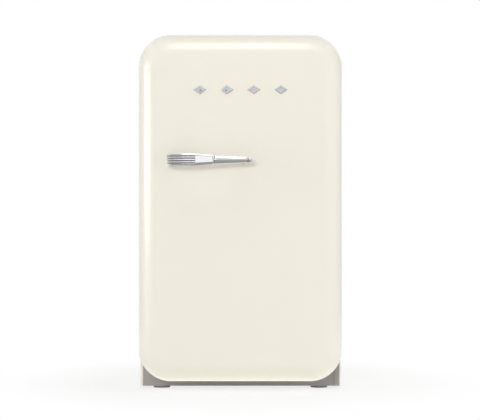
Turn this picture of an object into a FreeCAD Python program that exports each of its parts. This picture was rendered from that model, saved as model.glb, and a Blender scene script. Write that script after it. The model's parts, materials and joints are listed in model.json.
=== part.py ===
"""Retro mini fridge with a silent absorption cooling unit: parametric source.

Millimetres. Z is up, the door faces -Y and +X is to the right of someone who faces it.
The origin lies under the middle of the fridge, on the floor.  The door hangs on the right.
Every sub-part is a document object sized from the sheet "sizes".
"""
import FreeCAD, Part
import math
import os
import re

import Sketcher

SIZES = {
    # whole fridge
    "width": 404, "height": 708, "depth": 500, "base_gap": 6,
    # painted cabinet
    "cabinet_front": -120, "cabinet_back": 240, "cabinet_top": 706, "corner": 64,
    "sheet": 1.2, "lip": 4.3, "rear_lip": 12, "play": 0.1, "foam_back": 149,
    "pan_bottom": 8, "pan_top": 22, "grille_slot": 14, "grille_pitch": 40, "grille_front": 165,
    "cap_width": 12, "cap_top": 68, "cap_thick": 1.5,
    # cold room
    "room_width": 310, "room_floor": 62, "room_ceiling": 662, "room_back": 118, "room_corner": 18,
    "liner_wall": 2, "liner_flange": 15, "flange_thick": 1.5,
    "rail_first": 170, "rail_pitch": 110, "rail_reach": 8, "rail_thick": 5,
    "rail_front": -60, "rail_back": 100,
    "glass_thick": 4, "glass_width": 304, "glass_front": -44, "glass_back": 84,
    "trim_width": 292, "trim_lip": 3, "trim_depth": 10, "trim_upstand": 12,
    # feet
    "foot_x": 160, "foot_front_y": -88, "foot_rear_y": 205, "foot_radius": 17, "stud_radius": 4,
    "stud_top": 34, "boss_radius": 10, "boss_bottom": 12.8, "run_play": 0.05,
    # cold plate and drain
    "fin_bottom": 540, "fin_top": 630, "fin_half": 95, "fin_depth": 26, "fin_thick": 1.5,
    "fin_pitch": 12.3, "fin_count": 16, "plate_thick": 2,
    "block_half": 80, "block_bottom": 565, "block_top": 605, "block_depth": 22,
    "cold_tube_x": 50, "cold_tube_radius": 7, "tray_half": 106, "tray_bottom": 512,
    "tray_top": 532, "tray_depth": 36, "drain_z": 518, "drain_radius": 6, "drain_y": 162,
    # control housing under the ceiling
    "housing_half": 60, "housing_front": -104, "housing_back": -14, "housing_bottom": 630,
    "housing_wall": 2, "control_z": 646, "dial_x": -42, "dial_radius": 13, "spindle_radius": 4,
    "switch_x": 42, "plunger_radius": 3.5, "plunger_tip": -117.5, "sleeve_radius": 7,
    "lamp_half": 26, "lamp_front": -76, "lamp_back": -26, "board_z": 640, "bulb_radius": 1.2,
    # door
    "door_bottom": 21, "door_front": -208, "door_back": -130, "door_roll": 38,
    "door_plate": 2, "niche_half": 128, "niche_bottom": 75, "niche_top": 610, "niche_back": -155,
    "dyke_width": 18, "dyke_bottom": 68, "dyke_top": 640, "dyke_crest": -98,
    "striker_radius": 8, "striker_face": -118,
    "seal_half": 171.5, "seal_bottom": 46, "seal_top": 678, "seal_width": 14, "seal_corner": 34,
    "seal_face": -120.3, "seal_base": 2.5, "seal_head": 3.4, "seal_web": 3,
    # concealed knuckle hinges
    "hinge_x": 184, "hinge_y": -152, "hinge_low": 110, "hinge_high": 619, "pin_radius": 4,
    "pin_half": 20, "tongue_half": 2, "tongue_width": 12, "eye_radius": 7,
    "flange_half": 25, "flange_left": 177, "flange_right": 195, "hinge_plate": 2,
    "screw_x": 186, "screw_offset": 17, "screw_radius": 2,
    "block_left": 173, "block_front": -167, "block_half_height": 22, "slot_half": 5, "block_web": 2,
    # handle and ornament
    "handle_z": 458.3, "handle_front": -250, "handle_left": -144, "handle_seam": -52.4,
    "handle_right": 22.9, "grip_half": 12.2, "grip_taper": 9.6, "grip_taper_start": -92,
    "grip_thick": 12, "grip_leg": 12, "panel_left": -133, "panel_right": -88, "panel_half": 9.4,
    "panel_depth": 1.2, "rib_pitch": 4.6, "rib_half": 1.3, "tail_big": 9.9, "tail_small": 5.9,
    "tail_y": -240, "post_x": 5, "post_radius": 4.5, "bolt_radius": 2.5, "bolt_head": 5,
    "lozenge_x": 53, "lozenge_z": 597, "lozenge_half_width": 13, "lozenge_half_height": 9,
    "lozenge_thick": 2,
    # door balconies
    "tub_half": 123.6, "tub_front": -64, "tub_back": -150, "tub_height": 58, "tub_wall": 2.5,
    "tub_corner": 14, "hanger_z": 40, "hanger_height": 8, "hanger_reach": 4, "hanger_front": -110,
    "hanger_back": -140, "lug_height": 13.7, "lug_gap": 0.3, "guard_radius": 2.2, "guard_z": 72,
    "guard_post_x": 100, "guard_post_y": -136, "bottle_floor": 84, "upper_floor": 455,
    "holder_half": 10, "holder_radius": 5, "holder_play": 0.1, "holder_reach": 40,
    # cooling unit behind the cabinet
    "unit_y": 195, "coil_y": 200, "boiler_x": -125, "casing_half_x": 40, "casing_half_y": 30,
    "casing_bottom": 95, "casing_top": 430, "casing_wall": 1, "boiler_radius": 13,
    "boiler_bottom": 80, "boiler_top": 500, "cartridge_x": -150, "cartridge_radius": 7,
    "condenser_z": 660, "condenser_return": 615, "condenser_right": 165, "condenser_radius": 8,
    "cooling_fin_half": 25, "cooling_fin_pitch": 12, "cooling_fin_count": 14,
    "cooling_fin_left": -20, "cooling_fin_thick": 0.8,
    "coil_radius": 9, "coil_left": -60, "coil_right": 150, "coil_top": 520, "coil_drop": 60,
    "coil_slope": 15, "coil_bend": 28, "tube_wall": 1.5,
    "vessel_radius": 26, "vessel_z": 100, "vessel_left": -55, "vessel_right": 165,
    "bar_depth": 12.8, "bar_height": 20, "bar_low": 110, "bar_high": 620, "bar_wall": 1.5,
    "spacer_x": 110, "spacer_width": 30, "strap_left": 52, "strap_width": 16,
    "box_left": -182, "box_right": -95, "box_front": 160, "box_back": 226, "box_top": 76,
    "inlet_x": -138, "inlet_z": 50, "inlet_half_width": 15.5, "inlet_half_height": 11.5,
    "pan_half": 45,
}

DOC = FreeCAD.newDocument("mini_fridge")
SHEET = DOC.addObject("Spreadsheet::Sheet", "sizes")
NODES = []


def fill_sheet():
    """Write every size as a plain number with its name as the alias."""
    for row, (name, size) in enumerate(SIZES.items(), start=1):
        SHEET.set(f"A{row}", name)
        SHEET.set(f"B{row}", str(size))
        SHEET.setAlias(f"B{row}", name)
    DOC.recompute()


# ---------------------------------------------------------------- expressions and sketches

def bound(text):
    """The expression with each named size pointed at the sheet."""
    def point(match):
        return "sizes." + match.group() if match.group() in SIZES else match.group()
    return re.sub(r"[a-z][a-z_]+", point, str(text))


def value(text):
    """The present value of an expression."""
    return float(SHEET.evalExpression(bound(text)))


def bind(sketch, constraint, text):
    """Add a dimension and tie it to the sheet."""
    index = sketch.addConstraint(constraint)
    sketch.renameConstraint(index, f"size_{index}")
    sketch.setExpression(f"Constraints.size_{index}", bound(text))


def place_point(sketch, geometry, point, x, y):
    """Tie one point of a sketch to an expression for each coordinate."""
    bind(sketch, Sketcher.Constraint("DistanceX", -1, 1, geometry, point, value(x)), x)
    bind(sketch, Sketcher.Constraint("DistanceY", -1, 1, geometry, point, value(y)), y)


def rounding(before, at, after, radius):
    """Tangent points, centre and turning sense of a rounded corner."""
    towards = (before - at).normalize()
    onwards = (after - at).normalize()
    half = towards.getAngle(onwards) / 2
    centre = at + (towards + onwards).normalize() * (radius / math.sin(half))
    reach = radius / math.tan(half)
    return at + towards * reach, at + onwards * reach, centre, (-towards).cross(onwards).z > 0


def draw(sketch, corners, closed=True):
    """A polygon or open path; a corner (x, y, r) is rounded, and all are tied to the sheet."""
    spots = [FreeCAD.Vector(value(c[0]), value(c[1]), 0) for c in corners]
    count = len(corners)
    turns = []
    for i, corner in enumerate(corners):
        inner = closed or 0 < i < count - 1
        if len(corner) > 2 and inner:
            turns.append(rounding(spots[i - 1], spots[i], spots[(i + 1) % count], value(corner[2])))
        else:
            turns.append((spots[i], spots[i], None, None))
    sides = []
    arcs = {}
    for i in range(count if closed else count - 1):
        sides.append(sketch.addGeometry(Part.LineSegment(turns[i][1], turns[(i + 1) % count][0])))
        following = (i + 1) % count
        start, end, centre, left = turns[following]
        if centre is not None:
            first, last = (start, end) if left else (end, start)
            angles = [math.atan2(p.y - centre.y, p.x - centre.x) for p in (first, last)]
            circle = Part.Circle(centre, FreeCAD.Vector(0, 0, 1), value(corners[following][2]))
            arcs[following] = sketch.addGeometry(Part.ArcOfCircle(circle, *angles))
    for i, corner in enumerate(corners):
        inner = closed or 0 < i < count - 1
        if i in arcs:
            before, after, arc, left = sides[i - 1], sides[i], arcs[i], turns[i][3]
            spot = sketch.addGeometry(Part.Point(spots[i]), True)
            sketch.addConstraint(Sketcher.Constraint("Tangent", before, 2, arc, 1 if left else 2))
            sketch.addConstraint(Sketcher.Constraint("Tangent", after, 1, arc, 2 if left else 1))
            sketch.addConstraint(Sketcher.Constraint("PointOnObject", spot, 1, before))
            sketch.addConstraint(Sketcher.Constraint("PointOnObject", spot, 1, after))
            bind(sketch, Sketcher.Constraint("Radius", arc, value(corner[2])), corner[2])
            place_point(sketch, spot, 1, corner[0], corner[1])
        elif inner:
            sketch.addConstraint(Sketcher.Constraint("Coincident", sides[i - 1], 2, sides[i], 1))
            place_point(sketch, sides[i], 1, corner[0], corner[1])
        elif i == 0:
            place_point(sketch, sides[0], 1, corner[0], corner[1])
        else:
            place_point(sketch, sides[-1], 2, corner[0], corner[1])


def draw_disc(sketch, x, y, radius):
    """A circle tied to the sheet."""
    centre = FreeCAD.Vector(value(x), value(y), 0)
    circle = sketch.addGeometry(Part.Circle(centre, FreeCAD.Vector(0, 0, 1), value(radius)))
    bind(sketch, Sketcher.Constraint("Radius", circle, value(radius)), radius)
    place_point(sketch, circle, 3, x, y)


def box(left, right, bottom, top, radius=None):
    """Corners of a rectangle, rounded when a radius is given."""
    corners = [(left, bottom), (right, bottom), (right, top), (left, top)]
    return [c + ((radius,) if radius else ()) for c in corners]


def disc(x, y, radius):
    return ("disc", x, y, radius)


# ---------------------------------------------------------------- features

def new_body(label):
    """An empty part; it is exported under its label at the end."""
    body = DOC.addObject("PartDesign::Body", label)
    body.Label = label
    NODES.append(body)
    return body


def origin(body, role):
    return [o for o in body.Origin.OriginFeatures if o.Role == role][0]


def sketch_on(body, name, plane, at, loops, closed=True):
    """A sketch on a world plane (XY, XZ or YZ) at a distance along that plane's normal."""
    sketch = body.newObject("Sketcher::SketchObject", name)
    sketch.AttachmentSupport = [(origin(body, plane + "_Plane"), "")]
    sketch.MapMode = "FlatFace"
    sketch.setExpression("AttachmentOffset.Base.z", bound(at))
    for loop in loops:
        if loop[0] == "disc":
            draw_disc(sketch, *loop[1:])
        else:
            draw(sketch, loop, closed)
    return sketch


def extrude(body, kind, name, plane, low, high, loops):
    """Material added (Pad) or removed (Pocket) from one world coordinate up to another."""
    at = f"-({high})" if plane == "XZ" else low
    feature = body.newObject("PartDesign::" + kind, name)
    sketch = sketch_on(body, name + "_outline", plane, at, loops)
    feature.Profile = sketch
    feature.setExpression("Length", bound(f"({high}) - ({low})"))
    feature.Reversed = kind == "Pocket"
    body.Tip = feature
    return feature


def add(body, name, plane, low, high, *loops):
    return extrude(body, "Pad", name, plane, low, high, loops)


def cut(body, name, plane, low, high, *loops):
    """A pocket, checked to have removed material."""
    before = settled(body).Volume
    feature = extrude(body, "Pocket", name, plane, low, high, loops)
    if settled(body).Volume > before - 0.01:
        raise RuntimeError(f"{body.Label}: {name} removes nothing")
    return feature


def settled(body):
    DOC.recompute()
    return body.Tip.Shape


def repeat(body, name, feature, axis, length, count):
    """A straight row of a feature."""
    row = body.newObject("PartDesign::LinearPattern", name)
    row.Originals = [feature]
    row.Direction = (origin(body, axis + "_Axis"), [""])
    row.setExpression("Length", bound(length))
    row.setExpression("Occurrences", bound(count))
    body.Tip = row
    return row


def soften(body, name, radius, test, kind="Fillet"):
    """Round or bevel the edges of the part so far that pass the test."""
    shape = settled(body)
    picked = [f"Edge{i}" for i, edge in enumerate(shape.Edges, start=1) if test(edge)]
    base = body.Tip
    feature = body.newObject("PartDesign::" + kind, name)
    feature.Base = (base, picked)
    feature.setExpression("Radius" if kind == "Fillet" else "Size", bound(radius))
    body.Tip = feature
    return feature


def level(axis, at, extent="length"):
    """A test for edges that lie wholly at one world coordinate."""
    place = value(at)

    def test(edge):
        limits = edge.BoundBox
        low = getattr(limits, axis + "Min")
        high = getattr(limits, axis + "Max")
        return abs(low - place) < 0.02 and abs(high - place) < 0.02
    return test


def pipe(body, plane, at, points, radius, bore=None):
    """A round tube along a flat path."""
    path = sketch_on(body, "path", plane, at, [points], closed=False)
    DOC.recompute()
    edges = [f"Edge{i}" for i in range(1, len(path.Shape.Edges) + 1)]
    profile = body.newObject("Sketcher::SketchObject", "section")
    profile.AttachmentSupport = [(path, "Edge1")]
    profile.MapMode = "NormalToEdge"
    draw_disc(profile, "0", "0", radius)
    if bore:
        draw_disc(profile, "0", "0", bore)
    sweep = body.newObject("PartDesign::AdditivePipe", "tube")
    sweep.Profile = profile
    sweep.Spine = (path, edges)
    body.Tip = sweep
    return sweep


def turn(body, name, plane, x, y, z, corners):
    """A solid of revolution about the local X axis of a sketch that is set at a point."""
    sketch = body.newObject("Sketcher::SketchObject", name + "_outline")
    sketch.AttachmentSupport = [(origin(body, plane + "_Plane"), "")]
    sketch.MapMode = "FlatFace"
    for axis, text in zip("xyz", (x, y, z)):
        sketch.setExpression(f"AttachmentOffset.Base.{axis}", bound(text))
    draw(sketch, corners)
    feature = body.newObject("PartDesign::Revolution", name)
    feature.Profile = sketch
    feature.ReferenceAxis = (sketch, ["H_Axis"])
    feature.Angle = 360
    body.Tip = feature
    return feature


# ---------------------------------------------------------------- shared outlines

FRONT_INNER = "cabinet_front + sheet"
FLANGE_BACK = "cabinet_front + sheet + flange_thick"
HINGES = ("hinge_low", "hinge_high")
FEET = [(side + "foot_x", depth) for side in ("-", "") for depth in ("foot_front_y", "foot_rear_y")]
BALCONIES = ("bottle_floor", "upper_floor")
SHELVES = ("rail_first + rail_pitch", "rail_first + 2*rail_pitch")


def arch(outer, inner):
    """The bent cabinet sheet: up one side, over the top and down the other."""
    far = f"(width/2 - ({outer}))"
    near = f"(width/2 - ({inner}))"
    crest = f"cabinet_top - ({outer})"
    under = f"cabinet_top - ({inner})"
    return [(f"-{far}", "base_gap"), (f"-{far}", crest, f"corner - ({outer})"),
            (far, crest, f"corner - ({outer})"), (far, "base_gap"), (near, "base_gap"),
            (near, under, f"corner - ({inner})"), (f"-{near}", under, f"corner - ({inner})"),
            (f"-{near}", "base_gap")]


def cabinet_face(inset, bottom):
    """The whole cabinet outline, inset, down to a given height."""
    half = f"(width/2 - ({inset}))"
    top = f"cabinet_top - ({inset})"
    return [(f"-{half}", bottom), (half, bottom), (half, top, f"corner - ({inset})"),
            (f"-{half}", top, f"corner - ({inset})")]


def door_face(inset):
    """The door outline, inset."""
    half = f"(width/2 - ({inset}))"
    return box(f"-{half}", half, f"door_bottom + {inset}", f"height - ({inset})",
               f"corner - ({inset})")


def room(outset):
    """The cold room opening, outset."""
    half = f"(room_width/2 + {outset})"
    return box(f"-{half}", half, f"room_floor - {outset}", f"room_ceiling + {outset}",
               f"room_corner + {outset}")


def seal_ring(outer, inner):
    """Two loops of the seal, given as insets from its outer edge."""
    loops = []
    for inset in (outer, inner):
        half = f"(seal_half - ({inset}))"
        loops.append(box(f"-{half}", half, f"seal_bottom + ({inset})", f"seal_top - ({inset})",
                         f"seal_corner - ({inset})"))
    return loops


def both_sides(near, far, bottom, top):
    """A rectangle and its mirror image about the middle plane."""
    return [box(near, far, bottom, top), box(f"-({far})", f"-({near})", bottom, top)]


def hinge_screw_holes(radius):
    return [disc("screw_x", f"{hinge} {sign} screw_offset", radius)
            for hinge in HINGES for sign in "+-"]


def cold_tube_holes(radius):
    middle = "(block_bottom + block_top)/2"
    return [disc("cold_tube_x", middle, radius), disc("-cold_tube_x", middle, radius)]


# ---------------------------------------------------------------- cabinet

def cabinet_wrapper():
    body = new_body("cabinet_wrapper")
    add(body, "sheet_arch", "XZ", "cabinet_front", "cabinet_back", arch("0", "sheet"))
    add(body, "front_fold", "XZ", "cabinet_front", FRONT_INNER, arch("0", "sheet + lip"))
    add(body, "rear_fold", "XZ", "cabinet_back - sheet", "cabinet_back", arch("0", "rear_lip"))
    soften(body, "front_edge", "0.8", level("Y", "cabinet_front"))


def front_frame():
    body = new_body("front_frame")
    inset = "sheet + lip + play"
    add(body, "face", "XZ", "cabinet_front", FRONT_INNER, cabinet_face(inset, "base_gap"), room("0"))
    half = f"(width/2 - ({inset}))"
    add(body, "bottom_fold", "XY", "base_gap", "base_gap + sheet",
        box(f"-{half}", half, "cabinet_front", "cabinet_front + rear_lip"))
    cut(body, "hinge_holes", "XZ", "cabinet_front - 1", FRONT_INNER + " + 1",
        *hinge_screw_holes("screw_radius + play"))


def hinge_side_cap():
    body = new_body("hinge_side_cap")
    add(body, "cap", "XZ", "cabinet_front - cap_thick", "cabinet_front",
        box("width/2 - cap_width", "width/2", "base_gap", "cap_top", "1"))
    soften(body, "edge", "0.6", level("Y", "cabinet_front - cap_thick"))


def inner_liner():
    body = new_body("inner_liner")
    add(body, "flange", "XZ", FRONT_INNER, FLANGE_BACK, room("liner_flange"))
    add(body, "tub", "XZ", FLANGE_BACK, "room_back + liner_wall", room("liner_wall"))
    cut(body, "cold_room", "XZ", FRONT_INNER, "room_back", room("0"))
    cut(body, "block_window", "XZ", "room_back - 1", "room_back + liner_wall + 1",
        box("-block_half", "block_half", "block_bottom", "block_top", "4"))
    cut(body, "drain_hole", "XZ", "room_back - 1", "room_back + liner_wall + 1",
        disc("0", "drain_z", "drain_radius + play"))
    rail = add(body, "rail", "XZ", "rail_front", "rail_back",
               *both_sides("room_width/2 - rail_reach", "room_width/2 + liner_wall/2",
                           "rail_first - rail_thick", "rail_first"))
    repeat(body, "rails", rail, "Z", "3*rail_pitch", "4")


def cabinet_insulation():
    body = new_body("cabinet_insulation")
    add(body, "block", "XZ", FRONT_INNER, "foam_back", cabinet_face("sheet", "pan_top"))
    cut(body, "flange_seat", "XZ", FRONT_INNER, FLANGE_BACK, room("liner_flange"))
    cut(body, "tub_seat", "XZ", FRONT_INNER, "room_back + liner_wall", room("liner_wall"))
    cut(body, "cold_block_seat", "XZ", "room_back", "room_back + block_depth",
        box("-block_half", "block_half", "block_bottom", "block_top", "4"))
    cut(body, "tube_holes", "XZ", "room_back", "foam_back + 1", *cold_tube_holes("cold_tube_radius"))
    cut(body, "drain_hole", "XZ", "room_back", "foam_back + 1", disc("0", "drain_z", "drain_radius"))
    cut(body, "stud_wells", "XY", "pan_top - 1", "stud_top + 4",
        disc("-foot_x", "foot_front_y", "stud_radius + 2"),
        disc("foot_x", "foot_front_y", "stud_radius + 2"))
    cut(body, "hinge_holes", "XZ", "cabinet_front", "cabinet_front + 14",
        *hinge_screw_holes("screw_radius"))


def rear_panel():
    body = new_body("rear_panel")
    add(body, "panel", "XZ", "foam_back", "foam_back + sheet", cabinet_face("sheet + play", "pan_top"))
    cut(body, "holes", "XZ", "foam_back - 1", "foam_back + sheet + 1",
        disc("0", "drain_z", "drain_radius + play"), *cold_tube_holes("cold_tube_radius + play"))


def base_pan():
    body = new_body("base_pan")
    half = "(width/2 - sheet - play)"
    inner = "(width/2 - 2*sheet - play)"
    add(body, "block", "XY", "pan_bottom", "pan_top",
        box(f"-{half}", half, FRONT_INNER, "cabinet_back - sheet"))
    cut(body, "hollow", "XY", "pan_bottom - 1", "pan_top - sheet",
        box(f"-{inner}", inner, "cabinet_front + 2*sheet", "cabinet_back - 2*sheet"))
    add(body, "bosses", "XY", "boss_bottom", "pan_top - sheet",
        *[disc(x, y, "boss_radius") for x, y in FEET])
    cut(body, "threads", "XY", "boss_bottom - 1", "pan_top + 1",
        *[disc(x, y, "stud_radius + run_play") for x, y in FEET])
    slot = extrude(body, "Pocket", "slot", "XY", "pan_top - 2*sheet", "pan_top + 1",
                   [box("-3.5*grille_pitch - grille_slot/2", "-3.5*grille_pitch + grille_slot/2",
                        "grille_front", "grille_front + 1.2*grille_pitch", "grille_slot/2 - 1")])
    DOC.recompute()
    repeat(body, "slots", slot, "X", "7*grille_pitch", "8")


def foot_pad(label, x):
    body = new_body(label)
    add(body, "puck", "XY", "0", "base_gap", disc(x, "foot_front_y", "foot_radius"))
    add(body, "neck", "XY", "base_gap", "base_gap + 3", disc(x, "foot_front_y", "boss_radius"))
    cut(body, "socket", "XY", "base_gap/2", "base_gap + 4", disc(x, "foot_front_y", "stud_radius"))
    soften(body, "edge", "1", level("Z", "base_gap"))


def foot_stud(label, x):
    body = new_body(label)
    add(body, "stud", "XY", "base_gap/2", "stud_top", disc(x, "foot_front_y", "stud_radius"))
    add(body, "collar", "XY", "base_gap + 3", "base_gap + 5", disc(x, "foot_front_y", "boss_radius - 2"))
    soften(body, "tip", "1", level("Z", "stud_top"), "Chamfer")


def rear_feet():
    body = new_body("rear_feet")
    feet = [(x, y) for x, y in FEET if y == "foot_rear_y"]
    add(body, "pucks", "XY", "0", "base_gap", *[disc(x, y, "foot_radius") for x, y in feet])
    add(body, "necks", "XY", "base_gap", "boss_bottom", *[disc(x, y, "boss_radius") for x, y in feet])
    add(body, "stems", "XY", "boss_bottom", "pan_top - sheet",
        *[disc(x, y, "stud_radius - play") for x, y in feet])


# ---------------------------------------------------------------- inside the cold room

def shelf_glasses():
    body = new_body("shelf_glasses")
    for number, top in enumerate(SHELVES):
        add(body, f"pane_{number}", "XY", top, f"{top} + glass_thick",
            box("-glass_width/2", "glass_width/2", "glass_front", "glass_back", "3"))


def trim_outline(low, edge, inward, upstand):
    """A U-shaped strip round a glass edge; `inward` is the sign of the way to the glass."""
    outer = f"{edge} - ({inward})*2"
    mouth = f"{edge} + ({inward})*(trim_depth - 2)"
    return [(outer, f"{low} - trim_lip"), (mouth, f"{low} - trim_lip"), (mouth, low), (edge, low),
            (edge, f"{low} + glass_thick"), (mouth, f"{low} + glass_thick"),
            (mouth, f"{low} + glass_thick + trim_lip"),
            (outer, f"{low} + glass_thick + {upstand}")]


def shelf_trims():
    body = new_body("shelf_trims")
    for number, top in enumerate(SHELVES):
        add(body, f"trims_{number}", "YZ", "-trim_width/2", "trim_width/2",
            trim_outline(top, "glass_front", "1", "trim_lip"),
            trim_outline(top, "glass_back", "-1", "trim_upstand"))


def evaporator_fins():
    body = new_body("evaporator_fins")
    add(body, "plate", "XZ", "room_back - plate_thick", "room_back",
        box("-fin_half", "fin_half", "fin_bottom", "fin_top", "3"))
    left = "-(fin_count - 1)*fin_pitch/2"
    fin = add(body, "fin", "XY", "fin_bottom", "fin_top",
              box(f"{left} - fin_thick/2", f"{left} + fin_thick/2",
                  "room_back - plate_thick - fin_depth", "room_back - plate_thick/2"))
    DOC.recompute()
    repeat(body, "fins", fin, "X", "(fin_count - 1)*fin_pitch", "fin_count")


def evaporator_block():
    body = new_body("evaporator_block")
    add(body, "block", "XZ", "room_back", "room_back + block_depth",
        box("-block_half", "block_half", "block_bottom", "block_top", "4"))
    cut(body, "sockets", "XZ", "room_back + block_depth - 12", "room_back + block_depth + 1",
        *cold_tube_holes("cold_tube_radius"))


def evaporator_tubes():
    """The feed from the condenser and the return to the absorber, through the foam."""
    body = new_body("evaporator_tubes")
    middle = "(block_bottom + block_top)/2"
    start = "room_back + block_depth - 12"
    pipe(body, "YZ", "cold_tube_x",
         [(start, middle), ("unit_y", middle, "14"), ("unit_y", "condenser_return - condenser_radius")],
         "cold_tube_radius", "cold_tube_radius - tube_wall")
    pipe(body, "YZ", "-cold_tube_x",
         [(start, middle), ("coil_y", middle, "14"), ("coil_y", "coil_top + coil_radius")],
         "cold_tube_radius", "cold_tube_radius - tube_wall")


def drip_tray():
    body = new_body("drip_tray")
    front = "room_back - tray_depth"
    add(body, "trough", "XY", "tray_bottom", "tray_top",
        box("-tray_half", "tray_half", front, "room_back"))
    cut(body, "hollow", "XY", "tray_bottom + liner_wall", "tray_top + 1",
        box("liner_wall - tray_half", "tray_half - liner_wall", f"{front} + liner_wall",
            "room_back - liner_wall"))
    add(body, "spout", "XZ", "room_back", "room_back + 4", disc("0", "drain_z", "drain_radius"))
    cut(body, "spout_bore", "XZ", "room_back - liner_wall - 1", "room_back + 5",
        disc("0", "drain_z", "drain_radius - tube_wall"))
    soften(body, "front_edge", "3",
           lambda e: level("Z", "tray_bottom")(e) and level("Y", front)(e))


def drain_tube():
    body = new_body("drain_tube")
    pipe(body, "YZ", "0", [("room_back + 4", "drain_z"), ("drain_y", "drain_z", "10"),
                           ("drain_y", "pan_top + 16")], "drain_radius", "drain_radius - tube_wall")


def drain_pan():
    body = new_body("drain_pan")
    add(body, "pan", "XY", "pan_top", "pan_top + 28",
        box("-pan_half", "pan_half", "foam_back + 4", "foam_back + 66", "6"))
    cut(body, "hollow", "XY", "pan_top + liner_wall", "pan_top + 29",
        box("liner_wall - pan_half", "pan_half - liner_wall", "foam_back + 4 + liner_wall",
            "foam_back + 66 - liner_wall", "4"))


def control_housing():
    body = new_body("control_housing")
    inner = "(housing_half - housing_wall)"
    add(body, "shell", "XY", "housing_bottom", "room_ceiling",
        box("-housing_half", "housing_half", "housing_front", "housing_back", "6"))
    cut(body, "hollow", "XY", "housing_bottom + housing_wall", "room_ceiling + 1",
        box(f"-{inner}", inner, "housing_front + housing_wall", "housing_back - housing_wall", "4"))
    add(body, "dial_sleeve", "XZ", "housing_front + housing_wall/2", "housing_front + 10",
        disc("dial_x", "control_z", "sleeve_radius"))
    add(body, "switch_sleeve", "XZ", "housing_front + housing_wall/2", "housing_front + 16",
        disc("switch_x", "control_z", "sleeve_radius"))
    cut(body, "dial_bore", "XZ", "housing_front - 1", "housing_front + 11",
        disc("dial_x", "control_z", "spindle_radius + run_play"))
    cut(body, "switch_bore", "XZ", "housing_front - 1", "housing_front + 17",
        disc("switch_x", "control_z", "plunger_radius + run_play"))
    cut(body, "lamp_window", "XY", "housing_bottom - 1", "housing_bottom + housing_wall + 1",
        box("-lamp_half", "lamp_half", "lamp_front", "lamp_back", "3"))
    add(body, "board_ribs", "XY", "housing_bottom + housing_wall/2", "board_z",
        *both_sides("lamp_half", "lamp_half + 3", "lamp_front + 4", "lamp_back - 4"))
    cut(body, "sensor_hole", "XZ", "housing_back - housing_wall - 1", "housing_back + 1",
        disc("dial_x", "control_z + 6", "bulb_radius + play"))
    soften(body, "lower_edge", "1.5", lambda e: level("Z", "housing_bottom")(e)
           and e.BoundBox.DiagonalLength > 4 and abs(e.BoundBox.Center.x) > value("lamp_half") - 50
           and (e.BoundBox.YMin < value("lamp_front") - 20 or e.BoundBox.YMax > value("lamp_back") + 8))


def lamp():
    lens = new_body("lamp_lens")
    add(lens, "lens", "XY", "housing_bottom - 2", "housing_bottom + housing_wall",
        box("play - lamp_half", "lamp_half - play", "lamp_front + play", "lamp_back - play", "3"))
    soften(lens, "edge", "1", level("Z", "housing_bottom - 2"))
    board = new_body("lamp_board")
    add(board, "board", "XY", "board_z", "board_z + 1.6",
        box("-lamp_half - 2.5", "lamp_half + 2.5", "lamp_front + 4", "lamp_back - 4"))
    add(board, "diodes", "XY", "board_z - 1.4", "board_z",
        *[box(f"{x} - 2.5", f"{x} + 2.5", "(lamp_front + lamp_back)/2 - 2.5",
              "(lamp_front + lamp_back)/2 + 2.5") for x in ("-lamp_half/2", "0", "lamp_half/2")])


def thermostat():
    case = new_body("thermostat_case")
    add(case, "case", "XY", "control_z - 10", "control_z + 12",
        box("dial_x - 12", "dial_x + 12", "housing_front + 10.5", "housing_front + 54", "1.5"))
    bulb = new_body("thermostat_capillary")
    pipe(bulb, "YZ", "dial_x", [("housing_front + 54", "control_z + 6"),
                                ("room_back - 6", "control_z + 6", "8"),
                                ("room_back - 6", "fin_top")], "bulb_radius")


def thermostat_knob():
    body = new_body("thermostat_knob")
    add(body, "disc", "XZ", "housing_front - 12", "housing_front - 1",
        disc("dial_x", "control_z", "dial_radius"))
    add(body, "grip", "XZ", "housing_front - 16", "housing_front - 12",
        box("dial_x - 3", "dial_x + 3", "control_z - dial_radius + 1", "control_z + dial_radius - 1", "2"))
    add(body, "spindle", "XZ", "housing_front - 1", "housing_front + 10",
        disc("dial_x", "control_z", "spindle_radius"))
    soften(body, "edge", "1.2", lambda e: level("Y", "housing_front - 12")(e)
           and e.BoundBox.XLength > value("dial_radius"))


def door_switch_plunger():
    body = new_body("door_switch_plunger")
    stop = "housing_front + 21.5"
    add(body, "rod", "XZ", "plunger_tip", stop, disc("switch_x", "control_z", "plunger_radius"))
    add(body, "collar", "XZ", stop, f"{stop} + 3", disc("switch_x", "control_z", "plunger_radius + 1.5"))
    soften(body, "tip", "1.5", level("Y", "plunger_tip"))


# ---------------------------------------------------------------- hinges

def hinge_brackets():
    body = new_body("hinge_brackets")
    for hinge in HINGES:
        add(body, f"{hinge}_flange", "XZ", "cabinet_front - hinge_plate", "cabinet_front",
            box("flange_left", "flange_right", f"{hinge} - flange_half", f"{hinge} + flange_half", "3"))
        add(body, f"{hinge}_tongue", "XY", f"{hinge} - tongue_half", f"{hinge} + tongue_half",
            box("hinge_x - tongue_width/2", "hinge_x + tongue_width/2", "hinge_y",
                "cabinet_front - hinge_plate/2"))
        add(body, f"{hinge}_eye", "XY", f"{hinge} - tongue_half", f"{hinge} + tongue_half",
            disc("hinge_x", "hinge_y", "eye_radius"))
        cut(body, f"{hinge}_bore", "XY", f"{hinge} - tongue_half - 1", f"{hinge} + tongue_half + 1",
            disc("hinge_x", "hinge_y", "pin_radius"))
    cut(body, "screw_holes", "XZ", "cabinet_front - hinge_plate - 1", "cabinet_front + 1",
        *hinge_screw_holes("screw_radius + play"))
    cut(body, "head_seats", "XZ", "cabinet_front - hinge_plate - 1", "cabinet_front - hinge_plate/2",
        *hinge_screw_holes("2*screw_radius + play"))


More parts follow.
